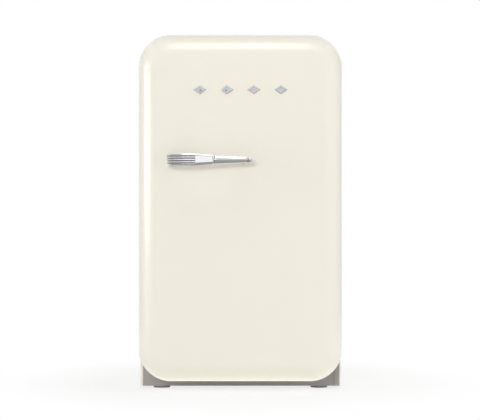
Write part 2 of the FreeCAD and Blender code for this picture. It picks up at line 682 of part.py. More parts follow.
def hinge_pins():
    body = new_body("hinge_pins")
    for hinge in HINGES:
        add(body, f"{hinge}_pin", "XY", f"{hinge} - pin_half", f"{hinge} + pin_half",
            disc("hinge_x", "hinge_y", "pin_radius"))


def hinge_screws():
    body = new_body("hinge_screws")
    add(body, "heads", "XZ", "cabinet_front - hinge_plate", "cabinet_front - hinge_plate/2",
        *hinge_screw_holes("2*screw_radius"))
    add(body, "shanks", "XZ", "cabinet_front - hinge_plate/2", "cabinet_front + 13",
        *hinge_screw_holes("screw_radius"))


def hinge_blocks():
    body = new_body("hinge_blocks")
    side = "(width/2 - sheet - play)"
    for hinge in HINGES:
        add(body, f"{hinge}_block", "XY", f"{hinge} - block_half_height", f"{hinge} + block_half_height",
            box("block_left", side, "block_front", "door_back"))
        cut(body, f"{hinge}_slot", "XY", f"{hinge} - slot_half", f"{hinge} + slot_half",
            box("block_left + block_web", f"{side} + 1", "block_front + block_web", "door_back + 1"))
        cut(body, f"{hinge}_bore", "XY", f"{hinge} - pin_half - 0.5", f"{hinge} + pin_half + 0.5",
            disc("hinge_x", "hinge_y", "pin_radius + run_play"))


# ---------------------------------------------------------------- door

def hinge_slots(body, name, low, high, half_height, left="block_left - play"):
    """Room for the hinges in a layer of the door, from one depth to another."""
    for hinge in HINGES:
        cut(body, f"{name}_{hinge}", "XZ", low, high,
            box(left, "width/2 + 1", f"{hinge} - ({half_height})", f"{hinge} + ({half_height})"))


def door_skin():
    body = new_body("door_skin")
    add(body, "shell", "XZ", "door_front", "door_back", door_face("0"))
    soften(body, "roll", "door_roll", first_edge_at("Y", "door_front"))
    void = DOC.addObject("PartDesign::Body", "door_void")
    add(void, "block", "XZ", "door_front + sheet", "door_back + 1", door_face("sheet"))
    soften(void, "roll", "door_roll - sheet", first_edge_at("Y", "door_front + sheet"))
    hollow = body.newObject("PartDesign::Boolean", "hollow")
    hollow.Type = "Cut"
    hollow.setObjects([void])
    body.Tip = hollow
    hinge_slots(body, "hinge_slot", "block_front", "door_back + 1", "slot_half", "width/2 - 2*sheet")
    cut(body, "bolt_holes", "XZ", "door_front - 1", "door_front + sheet + 1",
        *bolt_places("bolt_radius + play"))


def first_edge_at(axis, at):
    """A test that passes one edge of a tangent chain; a fillet follows the rest."""
    test = level(axis, at)
    found = []

    def once(edge):
        if not found and test(edge):
            found.append(edge)
            return True
        return False
    return once


def bolt_places(radius):
    return [disc("handle_left + grip_leg/2", "handle_z", radius), disc("post_x", "handle_z", radius)]


def niche(outset):
    return box(f"-(niche_half + {outset})", f"niche_half + {outset}", f"niche_bottom - {outset}",
               f"niche_top + {outset}", f"10 + {outset}")


def dykes(inset):
    return both_sides(f"niche_half + {inset}", f"niche_half + dyke_width - {inset}",
                      f"dyke_bottom + {inset}", f"dyke_top - {inset}")


def door_insulation():
    body = new_body("door_insulation")
    liner_front = "door_back - door_plate"
    add(body, "filling", "XZ", "door_front + sheet", liner_front, door_face("sheet"))
    soften(body, "roll", "door_roll - sheet", first_edge_at("Y", "door_front + sheet"))
    cut(body, "niche_seat", "XZ", "niche_back - liner_wall", f"{liner_front} + 1", niche("liner_wall"))
    add(body, "dyke_cores", "XZ", f"{liner_front} - 1", "dyke_crest - liner_wall", *dykes("liner_wall"))
    hinge_slots(body, "hinge_seat", "block_front - play", f"{liner_front} + 1",
                "block_half_height + play")
    cut(body, "bolt_seats", "XZ", "door_front + sheet", "door_front + sheet + 3.2",
        *bolt_places("bolt_head + play"))


def door_liner():
    body = new_body("door_liner")
    front = "door_back - door_plate"
    add(body, "plate", "XZ", front, "door_back", door_face("sheet + play"))
    add(body, "niche_wall", "XZ", "niche_back - liner_wall", f"{front} + 1", niche("liner_wall"))
    add(body, "dykes", "XZ", front, "dyke_crest", *dykes("0"))
    cut(body, "niche", "XZ", "niche_back", "door_back + 1", niche("0"))
    cut(body, "dyke_hollows", "XZ", f"{front} - 1", "dyke_crest - liner_wall", *dykes("liner_wall"))
    cut(body, "seal_groove", "XZ", "door_back - 1", "door_back + 1", *seal_ring("2", "seal_width - 2"))
    add(body, "striker", "XZ", "door_back - 1", "striker_face",
        disc("switch_x", "control_z", "striker_radius"))
    for floor in BALCONIES:
        top = f"{floor} + hanger_z - lug_gap"
        add(body, f"lugs_{floor}", "XZ", "hanger_back + 2", "hanger_front - 2",
            *both_sides("niche_half - hanger_reach", "niche_half + liner_wall/2",
                        f"{top} - lug_height", top))
    hinge_slots(body, "hinge_notch", front + " - 1", "door_back + 1", "block_half_height + play")
    soften(body, "dyke_edges", "3", level("Y", "dyke_crest"))


def door_gasket():
    body = new_body("door_gasket")
    add(body, "foot", "XZ", "door_back - 1", "door_back", *seal_ring("2", "seal_width - 2"))
    add(body, "base", "XZ", "door_back", "door_back + seal_base", *seal_ring("0", "seal_width"))
    add(body, "web", "XZ", "door_back + seal_base", "seal_face - seal_head", *seal_ring("0", "seal_web"))
    add(body, "head", "XZ", "seal_face - seal_head", "seal_face", *seal_ring("0", "seal_width"))


def gasket_magnets():
    """Four magnetic strips under the head of the seal."""
    body = new_body("gasket_magnets")
    near = "seal_half - seal_width + 1"
    far = "seal_half - seal_web - play"
    low = "seal_bottom + seal_web + play"
    high = "seal_bottom + seal_width - 1"
    reach = "seal_corner + 6"
    strips = both_sides(near, far, f"seal_bottom + {reach}", f"seal_top - ({reach})")
    strips.append(box(f"{reach} - seal_half", f"seal_half - ({reach})", low, high))
    strips.append(box(f"{reach} - seal_half", f"seal_half - ({reach})",
                      f"seal_top + seal_bottom - ({high})", f"seal_top + seal_bottom - ({low})"))
    add(body, "strips", "XZ", "seal_face - seal_head - 1.8", "seal_face - seal_head", *strips)


def handle_grip():
    """The broad chrome grip, bent back to the door at its left end."""
    body = new_body("handle_grip")
    back = "handle_front + grip_thick"
    add(body, "bar", "XY", "handle_z - grip_half", "handle_z + grip_half",
        [("handle_left", "door_front"), ("handle_left", "handle_front", "11"),
         ("handle_seam", "handle_front"), ("handle_seam", back),
         ("handle_left + grip_leg", back, "5"), ("handle_left + grip_leg", "door_front")])
    for name, sign in (("upper_taper", ""), ("lower_taper", "-")):
        cut(body, name, "XZ", "handle_front - 1", f"{back} + 1",
            [("grip_taper_start", f"handle_z + {sign}(grip_half)"),
             ("handle_seam + 1", f"handle_z + {sign}(grip_half)"),
             ("handle_seam + 1", f"handle_z + {sign}(grip_taper)")])
    cut(body, "leg_bore", "XZ", "door_front - 18", "door_front + 1",
        disc("handle_left + grip_leg/2", "handle_z", "bolt_radius"))
    soften(body, "front_edges", "3.5", lambda e: e.BoundBox.YMax < value("handle_front") + 0.02
           and e.BoundBox.XLength > 5)
    cut(body, "panel", "XZ", "handle_front - 1", "handle_front + panel_depth",
        box("panel_left", "panel_right", "handle_z - panel_half", "handle_z + panel_half", "2.5"))
    for number in (-1.5, -0.5, 0.5, 1.5):
        middle = f"handle_z + ({number})*rib_pitch"
        rib = f"rib_{int(number * 2 + 3) // 2}"
        add(body, rib, "XZ", "handle_front", "handle_front + panel_depth + 0.2",
            box("panel_left + 2", "panel_right - 2", f"{middle} - rib_half", f"{middle} + rib_half", "1.2"))
    settled(body)
    soften(body, "rib_crowns", "0.7", lambda e: level("Y", "handle_front")(e)
           and e.BoundBox.XMin > value("panel_left + 1.5") and e.BoundBox.XMax < value("panel_right - 1.5")
           and e.BoundBox.XLength > 10 and abs(e.BoundBox.Center.z - value("handle_z")) < 9)


def handle_tail():
    """The tapered round tail of the handle."""
    body = new_body("handle_tail")
    run = "(handle_right - handle_seam)"
    turn(body, "cone", "XY", "handle_seam", "tail_y", "handle_z",
         [("0", "0"), ("0", "tail_big"), (run, "tail_small", "4.5"), (run, "0")])
    cut(body, "post_seat", "XZ", "tail_y", "tail_y + tail_big + 1",
        disc("post_x", "handle_z", "post_radius"))


def handle_post():
    body = new_body("handle_post")
    add(body, "post", "XZ", "tail_y", "door_front", disc("post_x", "handle_z", "post_radius"))
    add(body, "foot", "XZ", "door_front - 3", "door_front", disc("post_x", "handle_z", "post_radius + 2.5"))
    cut(body, "bore", "XZ", "door_front - 18", "door_front + 1", disc("post_x", "handle_z", "bolt_radius"))
    soften(body, "foot_edge", "1.5", lambda e: level("Y", "door_front - 3")(e)
           and e.BoundBox.XLength > value("2*post_radius") + 1)


def handle_bolts():
    body = new_body("handle_bolts")
    inner = "door_front + sheet"
    add(body, "shanks", "XZ", "door_front - 18", inner, *bolt_places("bolt_radius"))
    add(body, "heads", "XZ", inner, f"{inner} + 3", *bolt_places("bolt_head"))


def front_lozenges():
    """Four plain bevelled lozenges in a row."""
    body = new_body("front_lozenges")
    loops = []
    for place in (-1.5, -0.5, 0.5, 1.5):
        middle = f"({place})*lozenge_x"
        loops.append([(f"{middle} - lozenge_half_width", "lozenge_z"),
                      (middle, "lozenge_z - lozenge_half_height"),
                      (f"{middle} + lozenge_half_width", "lozenge_z"),
                      (middle, "lozenge_z + lozenge_half_height")])
    add(body, "lozenges", "XZ", "door_front - lozenge_thick", "door_front", *loops)
    soften(body, "bevel", "1.4", level("Y", "door_front - lozenge_thick"), "Chamfer")


# ---------------------------------------------------------------- balconies

def balcony(label, floor):
    body = new_body(label)
    add(body, "tub", "XY", floor, f"{floor} + tub_height",
        box("-tub_half", "tub_half", "tub_back", "tub_front", "tub_corner"))
    cut(body, "hollow", "XY", f"{floor} + tub_wall", f"{floor} + tub_height + 1",
        box("tub_wall - tub_half", "tub_half - tub_wall", "tub_back + tub_wall",
            "tub_front - tub_wall", "tub_corner - tub_wall"))
    low = f"{floor} + hanger_z"
    add(body, "hangers", "XZ", "hanger_back", "hanger_front",
        *both_sides("tub_half - tub_wall/2", "niche_half - lug_gap - play", low,
                    f"{low} + hanger_height"))
    soften(body, "floor_edge", "3", first_edge_at("Z", floor))


def balcony_guard(label, floor):
    """The bright wire round the top of a balcony."""
    body = new_body(label)
    side = "(tub_half - tub_wall/2)"
    front = "(tub_front - tub_wall/2)"
    pipe(body, "XY", f"{floor} + guard_z",
         [(f"-{side}", "guard_post_y - 4"), (f"-{side}", front, "tub_corner - tub_wall/2"),
          (side, front, "tub_corner - tub_wall/2"), (side, "guard_post_y - 4")], "guard_radius")
    posts = [(f"-{side}", "guard_post_y"), (side, "guard_post_y"), ("-guard_post_x", front),
             ("guard_post_x", front)]
    add(body, "posts", "XY", f"{floor} + tub_height", f"{floor} + guard_z",
        *[disc(x, y, "guard_radius - 0.2") for x, y in posts])


def bottle_holder():
    """A comb that slides along the guard wire and parts the bottles."""
    body = new_body("bottle_holder")
    wire_y = "(tub_front - tub_wall/2)"
    wire_z = "(bottle_floor + guard_z)"
    add(body, "sleeve", "YZ", "-holder_half", "holder_half", disc(wire_y, wire_z, "holder_radius"))
    add(body, "blade", "YZ", "-1.5", "1.5",
        [(f"{wire_y} - 4", f"{wire_z} + 4"), (f"{wire_y} - holder_reach", f"{wire_z} + 2", "8"),
         (f"{wire_y} - holder_reach + 4", f"{wire_z} - 45", "8"), (f"{wire_y} - 4", f"{wire_z} - 45", "4")])
    cut(body, "wire_bore", "YZ", "-holder_half - 1", "holder_half + 1",
        disc(wire_y, wire_z, "guard_radius + holder_play"))


# ---------------------------------------------------------------- cooling unit

def rear_crossbars():
    body = new_body("rear_crossbars")
    half = "(width/2 - sheet - play)"
    back = "(cabinet_back - sheet)"
    front = f"({back} - bar_depth)"
    loops = []
    for low in ("bar_low", "bar_high"):
        high = f"{low} + bar_height"
        loops.append([(front, low), (back, low), (back, high), (front, high),
                      (front, f"{high} - bar_wall"), (f"{back} - bar_wall", f"{high} - bar_wall"),
                      (f"{back} - bar_wall", f"{low} + bar_wall"), (front, f"{low} + bar_wall")])
    add(body, "bars", "YZ", f"-{half}", half, *loops)


def wall_spacers():
    body = new_body("wall_spacers")
    add(body, "spacers", "XZ", "cabinet_back - sheet", "depth/2",
        box("spacer_x", "spacer_x + spacer_width", "bar_high", "bar_high + bar_height", "3"),
        box("-spacer_x - spacer_width", "-spacer_x", "bar_high", "bar_high + bar_height", "3"))
    soften(body, "edge", "2", level("Y", "depth/2"))


def boiler():
    outline = ("boiler_x - casing_half_x", "boiler_x + casing_half_x",
               "unit_y - casing_half_y", "unit_y + casing_half_y", "14")
    inner = ("boiler_x - casing_half_x + casing_wall", "boiler_x + casing_half_x - casing_wall",
             "unit_y - casing_half_y + casing_wall", "unit_y + casing_half_y - casing_wall", "13")
    casing = new_body("boiler_casing")
    add(casing, "can", "XY", "casing_bottom", "casing_top", box(*outline))
    cut(casing, "hollow", "XY", "casing_bottom - 1", "casing_top - casing_wall", box(*inner))
    cut(casing, "tube_hole", "XY", "casing_top - 2", "casing_top + 1",
        disc("boiler_x", "unit_y", "boiler_radius"))
    wool = new_body("boiler_wool")
    add(wool, "wool", "XY", "casing_bottom + 1", "casing_top - casing_wall", box(*inner))
    cut(wool, "bores", "XY", "casing_bottom", "casing_top",
        disc("boiler_x", "unit_y", "boiler_radius"))
    cut(wool, "heater_well", "XY", "casing_bottom", "casing_bottom + 131",
        disc("cartridge_x", "unit_y", "cartridge_radius"))
    tube = new_body("boiler_tube")
    add(tube, "tube", "XY", "boiler_bottom", "boiler_top", disc("boiler_x", "unit_y", "boiler_radius"))
    cut(tube, "bore", "XY", "boiler_bottom + 3", "boiler_top - 3",
        disc("boiler_x", "unit_y", "boiler_radius - 2"))
    heater = new_body("heater_cartridge")
    add(heater, "rod", "XY", "casing_bottom - 6", "casing_bottom + 131",
        disc("cartridge_x", "unit_y", "cartridge_radius"))
    add(heater, "lead", "XY", "box_top", "casing_bottom - 6", disc("cartridge_x", "unit_y", "3"))


def condenser():
    tube = new_body("condenser_tube")
    pipe(tube, "XZ", "-unit_y",
         [("boiler_x", "boiler_top"), ("boiler_x", "condenser_z", "26"),
          ("condenser_right", "condenser_z", "22"), ("condenser_right", "condenser_return", "22"),
          ("cold_tube_x - 10", "condenser_return")],
         "condenser_radius", "condenser_radius - tube_wall")
    fins = new_body("condenser_fins")
    middle = "condenser_z"
    fin = add(fins, "fin", "YZ", "cooling_fin_left", "cooling_fin_left + cooling_fin_thick",
              box("unit_y - cooling_fin_half", "unit_y + cooling_fin_half",
                  f"{middle} - cooling_fin_half", f"{middle} + cooling_fin_half", "6"),
              disc("unit_y", middle, "condenser_radius"))
    DOC.recompute()
    repeat(fins, "fins", fin, "X", "(cooling_fin_count - 1)*cooling_fin_pitch", "cooling_fin_count")


def absorber():
    coil = new_body("absorber_coil")
    points = [("coil_left", "coil_top")]
    height = "coil_top"
    near, far = "coil_left", "coil_right"
    for _ in range(5):
        height = f"{height} - coil_slope"
        points.append((far, height, "coil_bend"))
        height = f"{height} - coil_drop"
        points.append((far, height, "coil_bend"))
        near, far = far, near
    points[-1] = ("coil_right", "vessel_z + vessel_radius - 3")
    pipe(coil, "XZ", "-coil_y", points, "coil_radius", "coil_radius - tube_wall")
    vessel = new_body("absorber_vessel")
    add(vessel, "vessel", "YZ", "vessel_left", "vessel_right", disc("unit_y", "vessel_z", "vessel_radius"))
    soften(vessel, "ends", "12", lambda e: level("X", "vessel_left")(e) or level("X", "vessel_right")(e))
    cut(vessel, "coil_seat", "XY", "vessel_z", "vessel_z + 40",
        disc("coil_right", "coil_y", "coil_radius"))
    add(vessel, "solution_tube", "YZ", "boiler_x + boiler_radius", "vessel_left + 14",
        disc("unit_y", "vessel_z - 14", "5"))


def unit_strap():
    body = new_body("unit_strap")
    back = "cabinet_back - sheet - bar_depth"
    right = "strap_left + strap_width"
    add(body, "strap", "XZ", f"{back} - 1.5", back,
        box("strap_left", right, "bar_low", "bar_high + bar_height"))
    share = "(strap_left + strap_width/2 - coil_left)/(coil_right - coil_left)"
    for number in range(4):
        along = share if number % 2 == 0 else f"(1 - {share})"
        middle = f"coil_top - {number}*(coil_slope + coil_drop) - coil_slope*{along}"
        add(body, f"clip_{number}", "XZ", "coil_y + coil_radius", f"{back} - 1",
            box("strap_left", right, f"{middle} - 4", f"{middle} + 4"))


def terminal_box():
    body = new_body("terminal_box")
    add(body, "case", "XY", "pan_top", "box_top", box("box_left", "box_right", "box_front", "box_back", "4"))
    cut(body, "hollow", "XY", "pan_top - 1", "box_top - liner_wall",
        box("box_left + liner_wall", "box_right - liner_wall", "box_front + liner_wall",
            "box_back - liner_wall", "2"))
    cut(body, "inlet_hole", "XZ", "box_back - liner_wall - 1", "box_back + 1",
        box("inlet_x - inlet_half_width", "inlet_x + inlet_half_width",
            "inlet_z - inlet_half_height", "inlet_z + inlet_half_height"))
    soften(body, "lid_edge", "1.5", first_edge_at("Z", "box_top"))


def power_inlet():
    body = new_body("power_inlet")
    wide = "(inlet_half_width - play)"
    tall = "(inlet_half_height - play)"
    add(body, "case", "XZ", "box_back - 18", "box_back",
        box(f"inlet_x - {wide}", f"inlet_x + {wide}", f"inlet_z - {tall}", f"inlet_z + {tall}"))
    add(body, "flange", "XZ", "box_back", "box_back + 3",
        box("inlet_x - inlet_half_width - 8", "inlet_x + inlet_half_width + 8",
            "inlet_z - inlet_half_height - 3", "inlet_z + inlet_half_height + 3", "3"))
    cut(body, "socket", "XZ", "box_back - 14", "box_back + 4",
        [("inlet_x - 12.5", "inlet_z - 8"), ("inlet_x + 12.5", "inlet_z - 8"),
         ("inlet_x + 12.5", "inlet_z + 3.5"), ("inlet_x + 8", "inlet_z + 8"),
         ("inlet_x - 8", "inlet_z + 8"), ("inlet_x - 12.5", "inlet_z + 3.5")])
    pins = new_body("inlet_pins")
    add(pins, "blades", "XZ", "box_back - 14", "box_back - 1",
        box("inlet_x - 8", "inlet_x - 6", "inlet_z - 4", "inlet_z"),
        box("inlet_x + 6", "inlet_x + 8", "inlet_z - 4", "inlet_z"),
        box("inlet_x - 1", "inlet_x + 1", "inlet_z", "inlet_z + 4"))


# ---------------------------------------------------------------- whole fridge

def build():
    fill_sheet()
    cabinet_wrapper()
    front_frame()
    hinge_side_cap()
    inner_liner()
    cabinet_insulation()
    rear_panel()
    base_pan()
    foot_pad("front_left_foot_pad", "-foot_x")
    foot_stud("front_left_foot_stud", "-foot_x")
    foot_pad("front_right_foot_pad", "foot_x")
    foot_stud("front_right_foot_stud", "foot_x")
    rear_feet()
    shelf_glasses()
    shelf_trims()
    evaporator_fins()
    evaporator_block()
    evaporator_tubes()
    drip_tray()
    drain_tube()
    drain_pan()
    control_housing()
    lamp()
    thermostat()
    thermostat_knob()
    door_switch_plunger()
    hinge_brackets()
    hinge_pins()
    hinge_screws()
    hinge_blocks()
    door_skin()
    door_insulation()
    door_liner()
    door_gasket()
    gasket_magnets()
    handle_grip()
    handle_tail()
    handle_post()
    handle_bolts()
    front_lozenges()
    balcony("upper_balcony", "upper_floor")
    balcony_guard("upper_balcony_guard", "upper_floor")
    balcony("bottle_balcony", "bottle_floor")
    balcony_guard("bottle_balcony_guard", "bottle_floor")
    bottle_holder()
    rear_crossbars()
    wall_spacers()
    boiler()
    condenser()
    absorber()
    unit_strap()
    terminal_box()
    power_inlet()
    DOC.recompute()


def export():
    """Check every object, then write one STEP file per part."""
    for item in DOC.Objects:
        if {"Invalid", "Error"} & set(item.State):
            raise RuntimeError(f"{item.Name} ({item.Label}) is {item.State}")
    os.makedirs("parts", exist_ok=True)
    for body in NODES:
        shape = body.Shape
        if shape.isNull() or not shape.isValid() or shape.Volume <= 0:
            raise RuntimeError(f"{body.Label} has no sound shape")
        shape.exportStep(f"parts/{body.Label}.step")


build()
export()
print(f"{len(NODES)} parts written")
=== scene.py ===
"""Retro mini fridge: finishes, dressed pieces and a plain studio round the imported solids.

Metres, in the frame of the solids: Z is up, the door faces -Y and hangs on the right.
"""

import json
import math

import bmesh
import bpy
from bpy.props import FloatProperty, FloatVectorProperty, IntProperty, PointerProperty
from mathutils import Euler, Matrix, Vector


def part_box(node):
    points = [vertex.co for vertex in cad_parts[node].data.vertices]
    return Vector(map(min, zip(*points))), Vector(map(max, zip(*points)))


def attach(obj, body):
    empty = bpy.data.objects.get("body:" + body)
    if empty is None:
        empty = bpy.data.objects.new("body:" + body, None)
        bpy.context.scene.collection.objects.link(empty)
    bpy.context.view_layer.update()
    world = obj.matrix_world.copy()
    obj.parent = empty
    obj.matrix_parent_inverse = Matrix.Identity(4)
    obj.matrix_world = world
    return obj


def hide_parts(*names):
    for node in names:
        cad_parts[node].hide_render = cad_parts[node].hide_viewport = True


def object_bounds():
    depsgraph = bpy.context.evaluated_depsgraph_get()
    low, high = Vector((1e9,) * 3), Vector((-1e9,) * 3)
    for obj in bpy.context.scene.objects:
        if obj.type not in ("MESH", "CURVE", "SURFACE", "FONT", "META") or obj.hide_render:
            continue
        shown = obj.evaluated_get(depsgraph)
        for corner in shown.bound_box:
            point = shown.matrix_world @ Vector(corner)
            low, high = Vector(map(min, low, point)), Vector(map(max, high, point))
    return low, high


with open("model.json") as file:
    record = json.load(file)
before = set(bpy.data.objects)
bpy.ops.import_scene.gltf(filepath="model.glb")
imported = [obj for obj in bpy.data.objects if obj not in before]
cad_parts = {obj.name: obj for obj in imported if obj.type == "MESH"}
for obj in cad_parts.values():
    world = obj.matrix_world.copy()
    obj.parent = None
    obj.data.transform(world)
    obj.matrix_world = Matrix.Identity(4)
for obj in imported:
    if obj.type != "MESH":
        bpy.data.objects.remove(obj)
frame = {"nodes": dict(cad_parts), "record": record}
NODES = frame["nodes"]
SOLID_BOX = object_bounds()

bl_info = {
    "name": "Retro mini fridge",
    "version": (1, 0, 0),
    "blender": (4, 5, 0),
    "location": "View3D > Sidebar > Fridge",
    "description": "Dresses the solids of a small retro fridge and sets up a studio",
    "category": "Object",
}

MM = 0.001
WHITE = (1, 1, 1, 1)
FRONT = (math.radians(90), 0.0, 0.0)
BACK = (math.radians(-90), 0.0, 0.0)
UP = (0.0, 0.0, 0.0)
RIGHT = (0.0, math.radians(90), 0.0)
LEFT = (0.0, math.radians(-90), 0.0)
DOWN = (math.radians(180), 0.0, 0.0)


# ---------------------------------------------------------------- settings

def colour(name, description, default):
    return FloatVectorProperty(name=name, description=description, default=default, size=3,
                               min=0.0, max=1.0, subtype="COLOR")


def length(name, description, default, low=0.0):
    return FloatProperty(name=name, description=description, default=default, min=low,
                         max=10.0, precision=4, subtype="DISTANCE", unit="LENGTH")


def watts(name, description, default):
    return FloatProperty(name=name, description=description, default=default, min=0.0,
                         max=500.0, subtype="POWER", unit="POWER")


class FridgeColours(bpy.types.PropertyGroup):
    """Colours of the finishes, as linear values."""
    cream: colour("Cream enamel", "Door and cabinet lacquer", (0.875, 0.842, 0.735))
    grey: colour("Grey enamel", "Front frame of the cabinet", (0.34, 0.33, 0.305))
    chrome: colour("Chrome", "Handle, ornaments and guard wires", (0.90, 0.90, 0.91))
    liner: colour("Liner", "Cold room and door liner plastic", (0.84, 0.86, 0.86))
    smoke: colour("Clear plastic", "Door balconies", (0.93, 0.96, 0.97))
    glass: colour("Shelf glass", "Glass of the shelves", (0.86, 0.95, 0.92))
    seal: colour("Seal", "Rubber of the door seal", (0.52, 0.52, 0.51))
    fitting: colour("Grey plastic", "Dial and bottle holder", (0.36, 0.37, 0.38))
    pale: colour("Pale plastic", "Pads of the feet", (0.62, 0.62, 0.60))
    black: colour("Black parts", "Cooling unit paint and black plastic", (0.022, 0.022, 0.024))
    zinc: colour("Zinc", "Galvanised sheet and screws", (0.62, 0.64, 0.66))
    aluminium: colour("Aluminium", "Fins", (0.80, 0.81, 0.82))
    copper: colour("Copper", "Sensor tube", (0.86, 0.42, 0.26))
    foam: colour("Foam", "Insulation", (0.82, 0.70, 0.42))
    ink: colour("Ink", "Dial numbers", (0.02, 0.02, 0.022))
    dust: colour("Dust", "Dust on upward faces", (0.46, 0.44, 0.40))


class FridgeSizes(bpy.types.PropertyGroup):
    """Sizes of the dressed pieces."""
    flute_depth: length("Flute depth", "Depth of the grooves along the grip", 0.0016)
    flute_width: length("Flute width", "Width of one groove", 0.0032)
    flute_pitch: length("Flute pitch", "Distance between grooves", 0.0046)
    grip_crown: length("Grip end crown", "How far the grip's end bulges over the tail", 0.0022)
    lozenge_frame: length("Lozenge frame", "Width of a lozenge's raised border", 0.0030)
    digit_height: length("Digit height", "Height of the dial numbers", 0.0024)
    screw_head: length("Screw head", "Radius of a sheet-metal screw head", 0.0036)
    bead: length("Weld bead", "Thickness of a weld bead", 0.0016)
    lens_rib: length("Lens rib", "Radius of a rib under the lamp lens", 0.0009)
    knurls: IntProperty(name="Dial ribs", description="Ribs round the dial", default=30, min=8,
                        max=90)


class FridgeStudio(bpy.types.PropertyGroup):
    """Camera and light levels."""
    distance: length("Camera distance", "From the middle of the fridge", 3.17)
    height: length("Camera height", "Above the floor", 0.3608)
    aside: length("Camera offset", "To the right of the middle", -0.0008, low=-1.0)
    lens: FloatProperty(name="Focal length", description="Focal length in millimetres",
                        default=113.3, min=10.0, max=400.0)
    ambient: FloatProperty(name="Ambient", description="Light from all round", default=0.36,
                           min=0.0, max=2.0)
    front: watts("Front lamp", "The lamp over the camera", 33.5)
    key: watts("Key lamp", "The lamp over the door", 6.5)
    left: watts("Left lamp", "The lamp to the left", 9.0)
    right: watts("Right lamp", "The lamp to the right", 13.0)
    bounce: watts("Floor bounce", "Light thrown up by the floor under the door", 0.04)
    rear: watts("Rear lamp", "The lamp behind", 16.0)


# ---------------------------------------------------------------- shader groups

def put(tree, kind, inputs=None, **settings):
    """Add a node; an input is given a value, or a socket to be linked to."""
    node = tree.nodes.new(kind)
    for key, setting in settings.items():
        setattr(node, key, setting)
    for key, given in (inputs or {}).items():
        if isinstance(given, bpy.types.NodeSocket):
            tree.links.new(given, node.inputs[key])
        else:
            node.inputs[key].default_value = given
    return node


def out(tree, kind, inputs=None, **settings):
    """Add a node and hand back its first output."""
    return put(tree, kind, inputs, **settings).outputs[0]


def maths(tree, operation, first, second, **settings):
    """Two numbers added, subtracted, multiplied or compared."""
    return out(tree, "ShaderNodeMath", {0: first, 1: second}, operation=operation, **settings)


def noise(tree, place, scale, **inputs):
    """Cloudy noise at a place."""
    return out(tree, "ShaderNodeTexNoise", {"Vector": place, "Scale": scale, **inputs})


def ramp(tree, number, start, end, **settings):
    """A number stretched so that it is zero at the start and one at the end."""
    return out(tree, "ShaderNodeMapRange", {"Value": number, "From Min": start, "From Max": end},
               **settings)


def local_place(tree):
    """The place of a point in its own object's frame."""
    return put(tree, "ShaderNodeTexCoord").outputs["Object"]


def swing(tree, shade, amount):
    """How far a shade lies from one half, times an amount."""
    return maths(tree, "MULTIPLY", maths(tree, "SUBTRACT", shade, 0.5), amount)


def toned(tree, colour_socket, shade, amount):
    """The colour made lighter and darker by a shade about one half."""
    level = maths(tree, "ADD", swing(tree, shade, amount), 1.0)
    return out(tree, "ShaderNodeHueSaturation", {"Color": colour_socket, "Value": level})


def varied(tree, base, shade, amount):
    """A number raised and lowered by a shade about one half."""
    return maths(tree, "ADD", swing(tree, shade, amount), base, use_clamp=True)


def start_group(name, inputs, outputs):
    """A shader group with named sockets, its inputs and a call that sets its outputs."""
    tree = bpy.data.node_groups.new(name, "ShaderNodeTree")
    for label, default in inputs:
        kind = "NodeSocketColor" if isinstance(default, tuple) and len(default) == 4 else (
            "NodeSocketVector" if isinstance(default, tuple) else "NodeSocketFloat")
        socket = tree.interface.new_socket(label, in_out="INPUT", socket_type=kind)
        socket.default_value = default
    for label in outputs:
        kind = "NodeSocketColor" if label == "Colour" else "NodeSocketFloat"
        tree.interface.new_socket(label, in_out="OUTPUT", socket_type=kind)
    given = tree.nodes.new("NodeGroupInput").outputs
    result = tree.nodes.new("NodeGroupOutput").inputs

    def give(label, socket):
        tree.links.new(socket, result[label])
    return tree, given, give


def start_skin(name, scale_name, scale, tone, roughness, grey=0.8):
    """A surface's group: its tree, the place, its scale, and the call that ends the group."""
    tree, given, give = start_group(
        name, [("Colour", (grey, grey, grey, 1.0)), (scale_name, scale), ("Tone", tone),
               ("Roughness", roughness)],
        ["Colour", "Roughness", "Height"])

    def end(shade, gloss_change, height):
        give("Colour", toned(tree, given["Colour"], shade, given["Tone"]))
        give("Roughness", varied(tree, given["Roughness"], shade, gloss_change))
        give("Height", height)
        return tree
    return tree, local_place(tree), given[scale_name], end


def lacquer_skin():
    """Sprayed enamel: a faint orange peel, slow changes of tone and gloss."""
    tree, place, scale, end = start_skin("Lacquer Skin", "Peel Scale", 420.0, 0.03, 0.3)
    peel = noise(tree, place, scale, Detail=2.0, Roughness=0.45)
    cloud = noise(tree, place, 7.0, Detail=4.0)
    return end(cloud, 0.08, peel)


def moulded_skin():
    """Moulded plastic or rubber: fine grain, flow marks, and a little tone."""
    tree, place, scale, end = start_skin("Moulded Skin", "Grain Scale", 1400.0, 0.04, 0.45)
    grain = noise(tree, place, scale, Detail=3.0, Roughness=0.6)
    cells = put(tree, "ShaderNodeTexVoronoi", {"Vector": place, "Scale": scale},
                feature="SMOOTH_F1").outputs["Distance"]
    flow = out(tree, "ShaderNodeMapping", {"Vector": place, "Scale": (14.0, 14.0, 5.0)})
    marks = noise(tree, flow, 1.0, Detail=5.0, Distortion=0.6)
    return end(marks, 0.16, maths(tree, "ADD", grain, cells))


def drawn_metal():
    """Drawn or brushed metal: long streaks along one way, with slow staining."""
    tree, place, stretch, end = start_skin("Drawn Metal", "Stretch", (40.0, 900.0, 900.0), 0.12, 0.3)
    drawn_out = out(tree, "ShaderNodeMapping", {"Vector": place, "Scale": stretch})
    streak = noise(tree, drawn_out, 1.0, Detail=4.0, Roughness=0.65)
    stain = noise(tree, place, 24.0, Detail=5.0)
    shade = maths(tree, "MULTIPLY", maths(tree, "ADD", streak, stain), 0.5)
    return end(shade, 0.35, streak)


